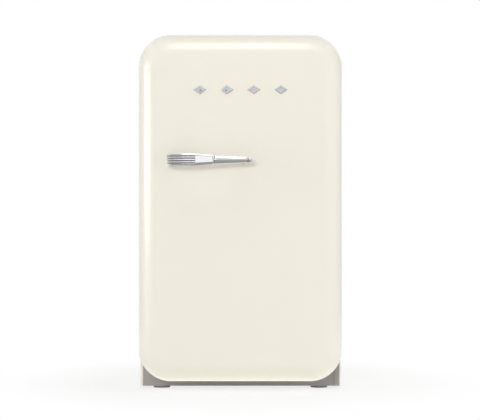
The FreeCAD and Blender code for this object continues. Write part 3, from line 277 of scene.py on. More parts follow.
def zinc_spangle():
    """Hot-dip zinc: crystal patches of slightly different grey and gloss."""
    tree, place, scale, end = start_skin("Zinc Spangle", "Spangle Scale", 160.0, 0.5, 0.34, grey=0.6)
    bent = put(tree, "ShaderNodeTexNoise", {"Vector": place, "Scale": 60.0}).outputs["Color"]
    push = out(tree, "ShaderNodeVectorMath", {0: bent, "Scale": 0.004}, operation="SCALE")
    moved = out(tree, "ShaderNodeVectorMath", {0: place, 1: push}, operation="ADD")
    patch = put(tree, "ShaderNodeTexVoronoi", {"Vector": moved, "Scale": scale})
    shade = out(tree, "ShaderNodeSeparateColor", {0: patch.outputs["Color"]})
    return end(shade, 0.22, patch.outputs["Distance"])


def hand_smudges():
    """Polished surfaces: faint wiping marks and fingerprints in the gloss."""
    tree, given, give = start_group(
        "Hand Smudges", [("Smudge Scale", 55.0), ("Roughness", 0.05), ("Amount", 0.10)],
        ["Roughness", "Height"])
    wipe = noise(tree, local_place(tree), given["Smudge Scale"], Detail=6.0, Roughness=0.62,
                 Distortion=1.4)
    extra = maths(tree, "MULTIPLY", ramp(tree, wipe, 0.48, 0.75), given["Amount"])
    give("Roughness", maths(tree, "ADD", extra, given["Roughness"]))
    give("Height", wipe)
    return tree


def dust_film():
    """Dust that has settled on faces that look up."""
    tree, given, give = start_group(
        "Dust Film",
        [("Colour", (0.8, 0.8, 0.8, 1.0)), ("Roughness", 0.4), ("Dust", (0.4, 0.4, 0.4, 1.0)),
         ("Amount", 0.3)],
        ["Colour", "Roughness"])
    normal = put(tree, "ShaderNodeNewGeometry").outputs["Normal"]
    up = put(tree, "ShaderNodeSeparateXYZ", {0: normal}).outputs["Z"]
    lies = ramp(tree, up, 0.55, 0.98, interpolation_type="SMOOTHSTEP")
    speck = noise(tree, local_place(tree), 90.0, Detail=8.0, Roughness=0.75)
    film = maths(tree, "MULTIPLY", lies, ramp(tree, speck, 0.3, 0.7))
    mask = maths(tree, "MULTIPLY", film, given["Amount"])
    mixed = put(tree, "ShaderNodeMix", {"Factor": mask, 6: given["Colour"], 7: given["Dust"]},
                data_type="RGBA")
    give("Colour", mixed.outputs[2])
    give("Roughness", out(tree, "ShaderNodeMix", {"Factor": mask, 2: given["Roughness"], 3: 0.95},
                          data_type="FLOAT"))
    return tree


# ---------------------------------------------------------------- finishes

GROUPS = {}
FINISHES = {}
LACQUER, MOULDED, DRAWN, ZINC = "Lacquer Skin", "Moulded Skin", "Drawn Metal", "Zinc Spangle"
SKIN_SCALES = {LACQUER: "Peel Scale", MOULDED: "Grain Scale", DRAWN: "Stretch", ZINC: "Spangle Scale"}


def rgba(values):
    return (values[0], values[1], values[2], 1.0)


def group_node(tree, name, values):
    """Place a shader group in a material with its own values."""
    return put(tree, "ShaderNodeGroup", values, node_tree=GROUPS[name])


def plain(name, **sockets):
    """A material with a Principled shader whose uniform values are set on its own sockets."""
    material = bpy.data.materials.new(name)
    material.use_nodes = True
    shader = material.node_tree.nodes["Principled BSDF"]
    for key, given in sockets.items():
        shader.inputs[key.replace("_", " ")].default_value = given
    return material, material.node_tree, shader


def relief(tree, shader, height, depth):
    bump = put(tree, "ShaderNodeBump", {"Height": height, "Distance": depth, "Strength": 1.0})
    tree.links.new(bump.outputs["Normal"], shader.inputs["Normal"])


def coated(name, skin, base, scale, tone, roughness, depth, dust=0.0, **sockets):
    """A finish from one skin group, with dust over it where asked."""
    material, tree, shader = plain(name, **sockets)
    layer = group_node(tree, skin, {"Colour": base, SKIN_SCALES[skin]: scale, "Tone": tone,
                                    "Roughness": roughness})
    tint, gloss = layer.outputs["Colour"], layer.outputs["Roughness"]
    if dust:
        film = group_node(tree, "Dust Film", {"Colour": tint, "Roughness": gloss, "Amount": dust,
                                              "Dust": rgba(bpy.context.scene.fridge_colours.dust)})
        tint, gloss = film.outputs["Colour"], film.outputs["Roughness"]
    tree.links.new(tint, shader.inputs["Base Color"])
    tree.links.new(gloss, shader.inputs["Roughness"])
    relief(tree, shader, layer.outputs["Height"], depth)
    return material


def polished(name, base, roughness, amount, depth, **sockets):
    """A mirror-like or clear finish with smudges."""
    material, tree, shader = plain(name, **sockets)
    layer = group_node(tree, "Hand Smudges", {"Roughness": roughness, "Amount": amount})
    tree.links.new(layer.outputs["Roughness"], shader.inputs["Roughness"])
    relief(tree, shader, layer.outputs["Height"], depth)
    shader.inputs["Base Color"].default_value = base
    return material


def board_finish():
    """Green circuit board with fine copper tracks under the lacquer."""
    material, tree, shader = plain("circuit_board", Coat_Weight=0.5, Coat_Roughness=0.2, Roughness=0.4)
    grid = put(tree, "ShaderNodeTexBrick",
               {"Vector": local_place(tree), "Scale": 260.0, "Mortar Size": 0.06,
                "Color1": (0.02, 0.16, 0.06, 1.0), "Color2": (0.03, 0.20, 0.08, 1.0),
                "Mortar": (0.10, 0.34, 0.12, 1.0)})
    tree.links.new(grid.outputs["Color"], shader.inputs["Base Color"])
    relief(tree, shader, grid.outputs["Fac"], 0.00005)
    return material


def foam_finish(base):
    """Cut polyurethane foam: small open cells."""
    material, tree, shader = plain("foam", Roughness=0.92)
    cells = put(tree, "ShaderNodeTexVoronoi", {"Vector": local_place(tree),
                                               "Scale": 700.0}).outputs["Distance"]
    shade = out(tree, "ShaderNodeMapRange", {"Value": cells, "From Max": 0.8, "To Min": 0.1,
                                             "To Max": 0.7})
    level = maths(tree, "ADD", shade, 0.55)
    tint = out(tree, "ShaderNodeHueSaturation", {"Color": base, "Value": level})
    tree.links.new(tint, shader.inputs["Base Color"])
    relief(tree, shader, cells, 0.0004)
    return material


def make_finishes():
    """Every finish of the fridge, by the name of its slot."""
    for build in (lacquer_skin, moulded_skin, drawn_metal, zinc_spangle, hand_smudges, dust_film):
        tree = build()
        GROUPS[tree.name] = tree
    tint = bpy.context.scene.fridge_colours
    along_y = (900.0, 40.0, 900.0)
    # name, skin, colour, scale of the skin, change of tone, roughness, relief, dust, other sockets
    made = [
        coated("cream_enamel", LACQUER, rgba(tint.cream), 260.0, 0.02, 0.34, 0.00002, 0.05,
               Coat_Weight=0.75, Coat_Roughness=0.05, IOR=1.45),
        coated("grey_enamel", LACQUER, rgba(tint.grey), 420.0, 0.06, 0.42, 0.00003, 0.1,
               Coat_Weight=0.15, Coat_Roughness=0.25),
        coated("black_steel", LACQUER, rgba(tint.black), 600.0, 0.3, 0.42, 0.00006, 0.30,
               Coat_Weight=0.3, Coat_Roughness=0.3),
        coated("white_plastic", MOULDED, rgba(tint.liner), 1300.0, 0.03, 0.34, 0.00003, IOR=1.5),
        coated("grey_plastic", MOULDED, rgba(tint.fitting), 1800.0, 0.06, 0.42, 0.00005, 0.05),
        coated("black_plastic", MOULDED, rgba(tint.black), 1500.0, 0.2, 0.48, 0.00006, 0.2),
        coated("pale_plastic", MOULDED, rgba(tint.pale), 1200.0, 0.05, 0.45, 0.00004, 0.05),
        coated("nylon", MOULDED, (0.78, 0.77, 0.72, 1.0), 900.0, 0.05, 0.4, 0.00003,
               Subsurface_Weight=0.1, Subsurface_Scale=0.002),
        coated("grey_rubber", MOULDED, rgba(tint.seal), 700.0, 0.08, 0.62, 0.00005, 0.05),
        coated("clear_plastic", MOULDED, rgba(tint.smoke), 700.0, 0.02, 0.10, 0.00002,
               Transmission_Weight=0.92, IOR=1.5),
        coated("lamp_diffuser", MOULDED, (0.92, 0.92, 0.90, 1.0), 900.0, 0.02, 0.35, 0.00003,
               Transmission_Weight=0.35, Subsurface_Weight=0.2, Subsurface_Scale=0.004),
        coated("dial_ink", MOULDED, rgba(tint.ink), 2500.0, 0.2, 0.5, 0.00001),
        coated("aluminium", DRAWN, rgba(tint.aluminium), (900.0, 900.0, 30.0), 0.16, 0.30, 0.00003,
               Metallic=1.0),
        coated("copper", DRAWN, rgba(tint.copper), along_y, 0.4, 0.28, 0.00003, Metallic=1.0),
        coated("brass_pins", DRAWN, (0.82, 0.62, 0.30, 1.0), along_y, 0.2, 0.24, 0.00002,
               Metallic=1.0),
        coated("weld_steel", DRAWN, (0.05, 0.047, 0.05, 1.0), (500.0, 500.0, 500.0), 0.8, 0.4,
               0.0002, 0.1, Metallic=0.5),
        coated("mineral_wool", DRAWN, (0.55, 0.50, 0.34, 1.0), (500.0, 140.0, 90.0), 0.9, 0.95,
               0.0015, Sheen_Weight=0.3),
        coated("magnet", DRAWN, (0.06, 0.055, 0.05, 1.0), (1200.0, 1200.0, 30.0), 0.5, 0.6, 0.0001,
               Metallic=0.1),
        coated("zinc_steel", ZINC, rgba(tint.zinc), 130.0, 0.35, 0.34, 0.00002, 0.12, Metallic=0.9),
        coated("screw_zinc", ZINC, (0.66, 0.66, 0.64, 1.0), 900.0, 0.2, 0.26, 0.00001, Metallic=1.0),
        polished("chrome", rgba(tint.chrome), 0.045, 0.08, 0.000006, Metallic=1.0),
        # A darker, duller chrome: painted shade for the faces deep in the handle's flutes and grooves.
        polished("chrome_groove", (0.48, 0.475, 0.48, 1.0), 0.22, 0.2, 0.00002, Metallic=1.0),
        polished("shelf_glass", rgba(tint.glass), 0.01, 0.05, 0.000004, Transmission_Weight=1.0,
                 IOR=1.52),
        foam_finish(rgba(tint.foam)),
        board_finish(),
    ]
    for material in made:
        FINISHES[material.name] = material


# ---------------------------------------------------------------- meshes

def placed(name, data):
    """A new object in the scene."""
    piece = bpy.data.objects.new(name, data)
    bpy.context.scene.collection.objects.link(piece)
    return piece


def mesh_of(name, bm, *finishes):
    """A bmesh as a new mesh with its finishes."""
    mesh = bpy.data.meshes.new(name)
    bm.to_mesh(mesh)
    bm.free()
    for finish in finishes:
        mesh.materials.append(finish)
    return mesh


def soften(bm, angle):
    """Smooth faces, with sharp edges where they meet at more than an angle in degrees."""
    bmesh.ops.recalc_face_normals(bm, faces=bm.faces)
    for face in bm.faces:
        face.smooth = True
    for edge in bm.edges:
        edge.smooth = len(edge.link_faces) == 2 and edge.calc_face_angle(0.0) < math.radians(angle)


def settle(name, bm, finish, angle=35.0):
    """Turn a bmesh into an object with smooth faces and sharp corners."""
    soften(bm, angle)
    return placed(name, mesh_of(name, bm, FINISHES[finish]))


def turns(count):
    """Angles evenly spaced round a full turn."""
    return [2 * math.pi * i / count for i in range(count)]


def bands(bm, rings):
    """Rings of points with faces between them."""
    rows = [[bm.verts.new(point) for point in ring] for ring in rings]
    for near, far in zip(rows, rows[1:]):
        for i in range(len(near)):
            j = (i + 1) % len(near)
            bm.faces.new((near[i], near[j], far[j], far[i]))
    return rows


def fan(bm, row, point):
    """Faces from a closed row of points to one more point."""
    hub = bm.verts.new(point)
    for i, vert in enumerate(row):
        bm.faces.new((vert, row[(i + 1) % len(row)], hub))


def skinned(name, rings, finish, angle=35.0):
    """A piece with faces between rings of points and both ends closed."""
    bm = bmesh.new()
    rows = bands(bm, rings)
    for row in (rows[0], rows[-1]):
        fan(bm, row, sum((vert.co for vert in row), Vector()) / len(row))
    return settle(name, bm, finish, angle)


def lathed(name, profile, count, finish, angle):
    """A turned piece about local Z from (radius, height) pairs, from one end to the other."""
    return skinned(name, [[Vector((radius * math.cos(a), radius * math.sin(a), height))
                           for a in turns(count)] for radius, height in profile], finish, angle)


def block(bm, low, high):
    """A box between two corners."""
    low, high = Vector(low), Vector(high)
    made = bmesh.ops.create_cube(bm, size=1.0)["verts"]
    bmesh.ops.scale(bm, verts=made, vec=high - low)
    bmesh.ops.translate(bm, verts=made, vec=(low + high) / 2)


def drop(piece):
    """Take a helper object out of the scene."""
    bpy.data.objects.remove(piece)


def baked(piece, name):
    """The evaluated mesh of an object as a plain new object."""
    bpy.context.view_layer.update()
    graph = bpy.context.evaluated_depsgraph_get()
    return placed(name, bpy.data.meshes.new_from_object(piece.evaluated_get(graph), depsgraph=graph))


def cross_screw(name, head, rise, shank, reach, countersunk=False):
    """A cross-recess screw that points out along local Z, with its seat at zero."""
    if countersunk:
        low, top = -rise, 0.2 * rise
        cap = [(0.98 * head, -0.0002), (head, 0.0), (0.8 * head, 0.12 * rise), (0.4 * head, top)]
    else:
        low, top = 0.0, rise
        cap = [(0.98 * head, low), (head, 0.12 * rise), (0.97 * head, 0.45 * rise),
               (0.86 * head, 0.75 * rise), (0.62 * head, 0.93 * rise), (0.3 * head, top)]
    body = lathed(name, [(shank, -reach), (shank, low)] + cap, 36, "screw_zinc", 40.0)
    cross = bmesh.new()
    slot_half, slot_reach, slot_depth = 0.16 * head, 0.62 * head, 0.55 * rise
    for across, along in ((slot_half, slot_reach), (slot_reach, slot_half)):
        block(cross, (-across, -along, top - slot_depth), (across, along, top + 0.0012))
    tool = settle(name + "_cutter", cross, "screw_zinc")
    cut = body.modifiers.new("recess", "BOOLEAN")
    cut.operation = "DIFFERENCE"
    cut.solver = "EXACT"
    cut.use_self = True
    cut.object = tool
    finished = baked(body, name)
    drop(tool)
    drop(body)
    return finished


# ---------------------------------------------------------------- geometry nodes

SEED = 4


def start_tree(name, inputs):
    """A geometry tree with named inputs, and its input sockets."""
    tree = bpy.data.node_groups.new(name, "GeometryNodeTree")
    tree.interface.new_socket("Geometry", in_out="INPUT", socket_type="NodeSocketGeometry")
    for label, kind in inputs.items():
        tree.interface.new_socket(label, in_out="INPUT", socket_type="NodeSocket" + kind)
    tree.interface.new_socket("Geometry", in_out="OUTPUT", socket_type="NodeSocketGeometry")
    return tree, tree.nodes.new("NodeGroupInput").outputs


def end_tree(tree, geometry, finish):
    """Real geometry with its material at the tree's output."""
    real = out(tree, "GeometryNodeRealizeInstances", {"Geometry": geometry})
    painted = out(tree, "GeometryNodeSetMaterial", {"Geometry": real, "Material": finish})
    tree.links.new(painted, tree.nodes.new("NodeGroupOutput").inputs[0])
    return tree


def spots_tree():
    """Copies of a master piece on points, each turned and sized by the point's attributes."""
    tree, given = start_tree("Set On Points", {"Master": "Object", "Scale": "Float", "Spin": "Float",
                                               "Seed": "Int", "Finish": "Material"})
    master = put(tree, "GeometryNodeObjectInfo", {"Object": given["Master"]}).outputs["Geometry"]
    turn = out(tree, "GeometryNodeInputNamedAttribute", {"Name": "turn"}, data_type="FLOAT_VECTOR")
    size = out(tree, "GeometryNodeInputNamedAttribute", {"Name": "size"}, data_type="FLOAT")
    chance = put(tree, "FunctionNodeRandomValue", {2: 0.0, 3: given["Spin"], "Seed": given["Seed"]},
                 data_type="FLOAT").outputs[1]
    about = out(tree, "ShaderNodeCombineXYZ", {"Z": chance})
    turned = out(tree, "FunctionNodeRotateRotation",
                 {0: out(tree, "FunctionNodeEulerToRotation", {0: turn}),
                  1: out(tree, "FunctionNodeEulerToRotation", {0: about})}, rotation_space="LOCAL")
    copies = out(tree, "GeometryNodeInstanceOnPoints",
                 {"Points": given["Geometry"], "Instance": master, "Rotation": turned,
                  "Scale": maths(tree, "MULTIPLY", size, given["Scale"])})
    return end_tree(tree, copies, given["Finish"])


def run_tree():
    """A closed run of one profile round a rectangle with rounded corners."""
    tree, given = start_tree("Run Round", {"Width": "Float", "Height": "Float", "Corner": "Float",
                                           "Centre": "Vector", "Turn": "Vector",
                                           "Profile": "Object", "Finish": "Material"})
    path = out(tree, "GeometryNodeCurvePrimitiveQuadrilateral",
               {"Width": given["Width"], "Height": given["Height"]})
    bent = out(tree, "GeometryNodeFilletCurve",
               {"Curve": path, "Radius": given["Corner"], "Count": 12}, mode="POLY")
    level = out(tree, "GeometryNodeSetCurveNormal", {"Curve": bent}, mode="Z_UP")
    outline = put(tree, "GeometryNodeObjectInfo", {"Object": given["Profile"]}).outputs["Geometry"]
    skin = out(tree, "GeometryNodeCurveToMesh", {"Curve": level, "Profile Curve": outline})
    moved = out(tree, "GeometryNodeTransform", {"Geometry": skin, "Translation": given["Centre"],
                                                "Rotation": given["Turn"]})
    return end_tree(tree, moved, given["Finish"])


def thread_tree():
    """A screw thread: a ridge that climbs round a core."""
    tree, given = start_tree("Screw Thread", {"Radius": "Float", "Ridge": "Float", "Turns": "Float",
                                              "Rise": "Float", "Base": "Vector",
                                              "Finish": "Material"})
    path = out(tree, "GeometryNodeCurveSpiral",
               {"Resolution": 24, "Rotations": given["Turns"], "Start Radius": given["Radius"],
                "End Radius": given["Radius"], "Height": given["Rise"]})
    section = out(tree, "GeometryNodeCurvePrimitiveCircle", {"Resolution": 4, "Radius": given["Ridge"]})
    skin = out(tree, "GeometryNodeCurveToMesh", {"Curve": path, "Profile Curve": section,
                                                 "Fill Caps": True})
    moved = out(tree, "GeometryNodeTransform", {"Geometry": skin, "Translation": given["Base"]})
    return end_tree(tree, moved, given["Finish"])


TREES = {}


def tree_of(build):
    """Each geometry tree is built once."""
    if build.__name__ not in TREES:
        TREES[build.__name__] = build()
    return TREES[build.__name__]


def grow(name, host, build, settings, angle):
    """Run a tree on a host and return the result as a plain mesh object."""
    modifier = host.modifiers.new("grow", "NODES")
    modifier.node_group = tree_of(build)
    for item in modifier.node_group.interface.items_tree:
        if item.in_out == "INPUT" and item.name in settings:
            modifier[item.identifier] = settings[item.name]
    piece = baked(host, name)
    drop(host)
    bm = bmesh.new()
    bm.from_mesh(piece.data)
    bmesh.ops.remove_doubles(bm, verts=bm.verts, dist=1e-7)
    soften(bm, angle)
    bm.to_mesh(piece.data)
    bm.free()
    if not piece.data.polygons:
        raise RuntimeError(f"{name} came out empty")
    return piece


def spots(name, places, master, finish, spin=0.0, angle=35.0):
    """Copies of a master at (point, turn) or (point, turn, size) places, as one mesh."""
    mesh = bpy.data.meshes.new(name + "_points")
    mesh.from_pydata([place[0] for place in places], [], [])
    mesh.attributes.new("turn", "FLOAT_VECTOR", "POINT")
    mesh.attributes.new("size", "FLOAT", "POINT")
    for i, place in enumerate(places):
        mesh.attributes["turn"].data[i].vector = place[1]
        mesh.attributes["size"].data[i].value = place[2] if len(place) > 2 else 1.0
    piece = grow(name, placed(name + "_points", mesh), spots_tree,
                 {"Master": master, "Scale": 1.0, "Spin": spin, "Seed": SEED,
                  "Finish": FINISHES[finish]}, angle)
    drop(master)
    return piece


def run_round(name, width, height, corner, centre, turn, points, finish, angle=35.0):
    """A closed flat profile swept round a rounded rectangle."""
    curve = bpy.data.curves.new(name + "_outline", "CURVE")
    curve.dimensions = "2D"
    curve.fill_mode = "NONE"
    spline = curve.splines.new("POLY")
    spline.points.add(len(points) - 1)
    for point, (x, y) in zip(spline.points, points):
        point.co = (x, y, 0.0, 1.0)
    spline.use_cyclic_u = True
    outline = placed(name + "_outline", curve)
    piece = grow(name, placed(name + "_host", bpy.data.meshes.new(name + "_host")), run_tree,
                 {"Width": width, "Height": height, "Corner": corner, "Centre": centre, "Turn": turn,
                  "Profile": outline, "Finish": FINISHES[finish]}, angle)
    drop(outline)
    return piece


def joined(name, pieces):
    """Several plain objects as one, with each one's finish kept."""
    bm = bmesh.new()
    finishes = []
    for piece in pieces:
        start = len(bm.faces)
        bm.from_mesh(piece.data)
        bm.faces.ensure_lookup_table()
        for face in bm.faces[start:]:
            material = piece.data.materials[face.material_index]
            if material not in finishes:
                finishes.append(material)
            face.material_index = finishes.index(material)
    result = placed(name, mesh_of(name, bm, *finishes))
    for piece in pieces:
        drop(piece)
    return result


def mount(piece, body, slot, *nodes):
    """Fix a piece to a body and hide the solids that it stands for. The slot is not used."""
    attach(piece, body)
    if nodes:
        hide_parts(*nodes)


# ---------------------------------------------------------------- dressed pieces

def ease(value, start, end):
    """Zero before start, one after end, smooth between."""
    t = min(1.0, max(0.0, (value - start) / (end - start)))
    return t * t * (3 - 2 * t)


def middle(node):
    low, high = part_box(node)
    return (low + high) / 2


def inset(low, high, margin):
    """Two places at a margin inside two ends."""
    return (low + margin, high - margin)


def squared(angle, power):
    """A point at an angle on a unit circle drawn out towards a square."""
    return [math.copysign(abs(part) ** power, part) for part in (math.cos(angle), math.sin(angle))]


class FRIDGE_OT_finishes(bpy.types.Operator):
    """Makes every finish and gives it to the solids that stay"""
    bl_idname = "fridge.finishes"
    bl_label = "Finishes"

    def execute(self, context):
        slots = {part["node"]: part["material_slot"] for part in frame["record"]["subparts"]}
        for material in list(bpy.data.materials):
            material.name = "packed_" + material.name
        make_finishes()
        for name, node in NODES.items():
            for slot in node.material_slots:
                slot.material = FINISHES[slots[name]]
        return {"FINISHED"}


def oval(half_n, half_z, squareness, front, back):
    """A rounded rectangle as (n, z) points, close together on its front."""
    def walk(start, end, count):
        steps = 1200
        fine = []
        for i in range(steps + 1):
            n, z = squared(start + (end - start) * i / steps, 2 / squareness)
            fine.append((half_n * n, half_z * z))
        run = [0.0]
        for a, b in zip(fine, fine[1:]):
            run.append(run[-1] + math.dist(a, b))
        points, j = [], 0
        for i in range(count):
            while run[j + 1] < run[-1] * i / count:
                j += 1
            points.append(fine[j])
        return points
    quarter = math.pi / 2
    return walk(-quarter, quarter, front) + walk(quarter, 3 * quarter, back)


def darkened(piece, faces):
    """A chrome piece whose numbered faces take a darker, duller chrome: painted shade in its grooves.
    """
    piece.data.materials.append(FINISHES["chrome_groove"])
    for i in faces:
        piece.data.polygons[i].material_index = 1
    return piece


class FRIDGE_OT_handle(bpy.types.Operator):
    """Builds the chrome grip with its flutes and the tapered tail"""
    bl_idname = "fridge.handle"
    bl_label = "Handle"

    THICK = 0.012
    BEND = 0.008
    ALONG_DOOR = 1.5 * math.pi
    # The flutes start this far along the grip and end this far from its left edge.
    FLUTES_START = 0.014
    FLUTES_END = 0.0545
    FLUTE_ROWS = (-1.5, -0.5, 0.5, 1.5)
    TAIL_SIDES = 64
    # Rows of the tail's faces that lie in its two grooves; these faces get painted shade.
    TAIL_GROOVES = (2, 3, 25, 26, 27)

    def execute(self, context):
        sizes = context.scene.fridge_sizes
        mount(self.grip(sizes), "door", "chrome", "handle_grip")
        mount(self.tail(sizes), "door", "chrome", "handle_tail")
        return {"FINISHED"}

    def grip_path(self, low, door, end):
        """Points and directions of the grip: out from the door, round a bend and along it."""
        stand, curve, run = 19, 25, 150
        line, front = low.x + self.THICK / 2, low.y + self.THICK / 2
        corner, start = front + self.BEND, line + self.BEND
        stops = [(line, door + (corner - door) * i / stand, math.pi) for i in range(stand)]
        for i in range(curve):
            a = math.pi + (math.pi / 2) * i / curve
            stops.append((start + self.BEND * math.cos(a), corner + self.BEND * math.sin(a), a))
        return stops + [(start + (end - line - self.BEND) * i / run, front, self.ALONG_DOOR)
                        for i in range(run + 1)]

    def grip(self, sizes):
        low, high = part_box("handle_grip")
        left, seam = low.x, high.x
        level, half = (low.z + high.z) / 2, (high.z - low.z) / 2
        end = seam - sizes.grip_crown - 0.0014
        stops = self.grip_path(low, high.y, end)
        runs = [0.0]
        for near, far in zip(stops, stops[1:]):
            runs.append(runs[-1] + math.dist(near[:2], far[:2]))
        last_flute = next(run for (x, y, a), run in zip(stops, runs)
                          if a == self.ALONG_DOOR and x > left + self.FLUTES_END)
        slim, fuller, taper, root, front_side = 0.93, 0.07, 0.0026, 0.0008, 0.0025
        sections, grooves, rings = {}, [], []
        for (x, y, a), run in zip(stops, runs):
            swell = slim + fuller * ease(x, left + 0.010, left + 0.034)
            tall = half * swell - taper * ease(x, left + 0.050, seam)
            flare = root * (1 - ease(run, 0.0, 0.004))
            crown = sizes.grip_crown * ease(x, seam - 0.016, end)
            key = round(tall, 6)
            if key not in sections:
                sections[key] = oval(self.THICK / 2, tall, squareness=4.2, front=96, back=30)
            ring = []
            for n, z in sections[key]:
                grooves.append(self.flute(run, z, last_flute, sizes) if n > front_side else 0.0)
                n -= grooves[-1]
                n += math.copysign(flare, n)
                x_end = crown * (1 - min(1.0, (z / tall) ** 2))
                ring.append(Vector((x + n * math.cos(a) + x_end, y + n * math.sin(a), level + z)))
            rings.append(ring)
        centre = sum(rings[-1], Vector()) / len(rings[-1])
        for shrink, step in ((0.985, 0.0006), (0.95, 0.0011), (0.88, 0.0014)):
            rings.append([centre + (p - centre) * shrink + Vector((step, 0, 0)) for p in rings[-1]])
        # Faces deep in the flutes get painted shade.
        deep = [i for i, groove in enumerate(grooves) if groove > 0.45 * sizes.flute_depth]
        return darkened(skinned("handle_grip_fluted", rings, "chrome", 50.0), deep)

    def flute(self, run, z, last, sizes):
        """Depth of the groove at a distance along the grip and a height across it."""
        beyond = max(0.0, self.FLUTES_START - run, run - last)
        half = sizes.flute_width / 2
        depth = 0.0
        for place in self.FLUTE_ROWS:
            off = math.hypot(beyond, z - place * sizes.flute_pitch)
            if off < half:
                depth = max(depth, sizes.flute_depth * (0.5 + 0.5 * math.cos(math.pi * off / half)))
        return depth

    def tail(self, sizes):
        low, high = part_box("handle_tail")
        axis = middle("handle_tail")
        big, run = (high.z - low.z) / 2, high.x - low.x
        small, start, lip = 0.6 * big, 0.985 * big, 0.0012
        steps = [(-0.004, 0.84 * big), (0.0, 0.86 * big), (0.0012, 0.86 * big), (0.0016, 0.90 * big),
                 (0.0020, 0.965 * big), (0.0030, start)]
        for i in range(1, 20):
            t = i / 20
            steps.append((0.0030 + t * (run - 0.0120), start + (small + 0.0002 - start) * t))
        steps += [(run - 0.0088, small + 0.0001), (run - 0.0084, small - 0.0005),
                  (run - 0.0078, small - 0.0005), (run - 0.0073, small + 0.0002),
                  (run - 0.0045, small), (run - 0.0026, 0.9 * small), (run - 0.0011, 0.7 * small),
                  (run - 0.0003, 0.45 * small), (run, 0.25 * small), (run - 0.0002, 0.12 * small)]
        rings = []
        for x, radius in steps:
            crown = sizes.grip_crown * (1 - ease(x, 0.0, 0.02))
            tuck = lip * (1 - ease(x, 0.0, 0.004))
            ring = []
            for a in turns(self.TAIL_SIDES):
                z = radius * math.sin(a)
                ring.append(Vector((low.x + x + crown * (1 - (z / big) ** 2) - tuck,
                                    axis.y + radius * math.cos(a), axis.z + z)))
            rings.append(ring)
        # Faces of the tail's grooves get painted shade.
        deep = [row * self.TAIL_SIDES + i for row in self.TAIL_GROOVES for i in range(self.TAIL_SIDES)]
        return darkened(skinned("handle_tail_turned", rings, "chrome", 50.0), deep)


class FRIDGE_OT_lozenges(bpy.types.Operator):
    """Sets four framed chrome lozenges in a row on the door"""
    bl_idname = "fridge.lozenges"
    bl_label = "Lozenges"

    def execute(self, context):
        low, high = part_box("front_lozenges")
        count, wide, tall = 4, 0.013, (high.z - low.z) / 2
        side, shoulder, top, valley = 0.0011, 0.0019, 0.0020, 0.0010
        reach = wide * tall / math.hypot(wide, tall)
        border = context.scene.fridge_sizes.lozenge_frame
        rings = []
        for within, z in ((0, 0), (0, side), (0.0008, shoulder), (0.0011, top), (border - 0.0004, top),
                          (border, shoulder), (border + 0.0004, side), (border + 0.0007, valley)):
            x, y = wide * (1 - within / reach), tall * (1 - within / reach)
            rings.append([(x, 0, z), (0, y, z), (-x, 0, z), (0, -y, z)])
        bm = bmesh.new()
        rows = bands(bm, rings)
        bm.faces.new(rows[0])
        fan(bm, rows[-1], (0, 0, shoulder))
        master = settle("lozenge", bm, "chrome", 18.0)
        pitch = (high.x - low.x - 2 * wide) / (count - 1)
        places = [((low.x + wide + i * pitch, high.y, (low.z + high.z) / 2), FRONT)
                  for i in range(count)]
        mount(spots("front_lozenges_framed", places, master, "chrome", angle=18.0), "door", "chrome",
              "front_lozenges")
        return {"FINISHED"}


class FRIDGE_OT_corner(bpy.types.Operator):
    """Closes the lower corner under the hinge with a grey plate and the cabinet's cream lip"""
    bl_idname = "fridge.corner"
    bl_label = "Corner cap"

    def execute(self, context):
        low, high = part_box("hinge_side_cap")
        lip, edge = 0.0026, 0.0004
        pieces = []
        for name, start, end, finish in (("corner_plate", low.x, high.x - lip, "grey_enamel"),
                                         ("corner_lip", high.x - lip, high.x, "cream_enamel")):
            bm = bmesh.new()
            block(bm, (start, low.y, low.z), (end, high.y, high.z))
            rim = [e for e in bm.edges if all(v.co.y < low.y + 1e-6 for v in e.verts)]
            bmesh.ops.bevel(bm, geom=rim, offset=edge, segments=3, affect="EDGES")
            pieces.append(settle(name, bm, finish))
        mount(joined("hinge_side_cap_lipped", pieces), "cabinet", "grey_enamel", "hinge_side_cap")
        return {"FINISHED"}


class FRIDGE_OT_seal(bpy.types.Operator):
    """Runs the pleated magnetic seal round the back of the door"""
    bl_idname = "fridge.seal"
    bl_label = "Door seal"

    def execute(self, context):
        low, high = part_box("door_gasket")
        wide, corner = 0.014, 0.027
        section = [(2, 0), (12, 0), (12, 1), (13.3, 1), (14, 1.7), (14, 2.8), (13.3, 3.5), (9.6, 3.5),
                   (8.4, 4.4), (9.6, 5.2), (13.3, 5.2), (14, 5.9), (14, 9.8), (13.1, 10.7),
                   (10.2, 10.7), (9.7, 10.45), (9.2, 10.7), (4.8, 10.7), (4.3, 10.45), (3.8, 10.7),
                   (0.9, 10.7), (0, 9.8), (0, 5.9), (0.9, 5.2), (2.0, 4.4), (0.7, 3.5), (0, 2.8),
                   (0, 1.7), (0.7, 1), (2, 1)]
        points = [((7 - across) * MM, deep * MM) for across, deep in section]
        centre = Vector(((low.x + high.x) / 2, low.y, (low.z + high.z) / 2))
        piece = run_round("door_seal_pleated", high.x - low.x - wide, high.z - low.z - wide, corner,
                          centre, FRONT, points, "grey_rubber", 28.0)
        mount(piece, "door", "grey_rubber", "door_gasket")
        return {"FINISHED"}


def upright(piece, place):
    """Turn a piece from looking up to looking forward, at its place, for good."""
    piece.data.transform(Matrix.Translation(place) @ Euler(FRONT).to_matrix().to_4x4())
    return piece


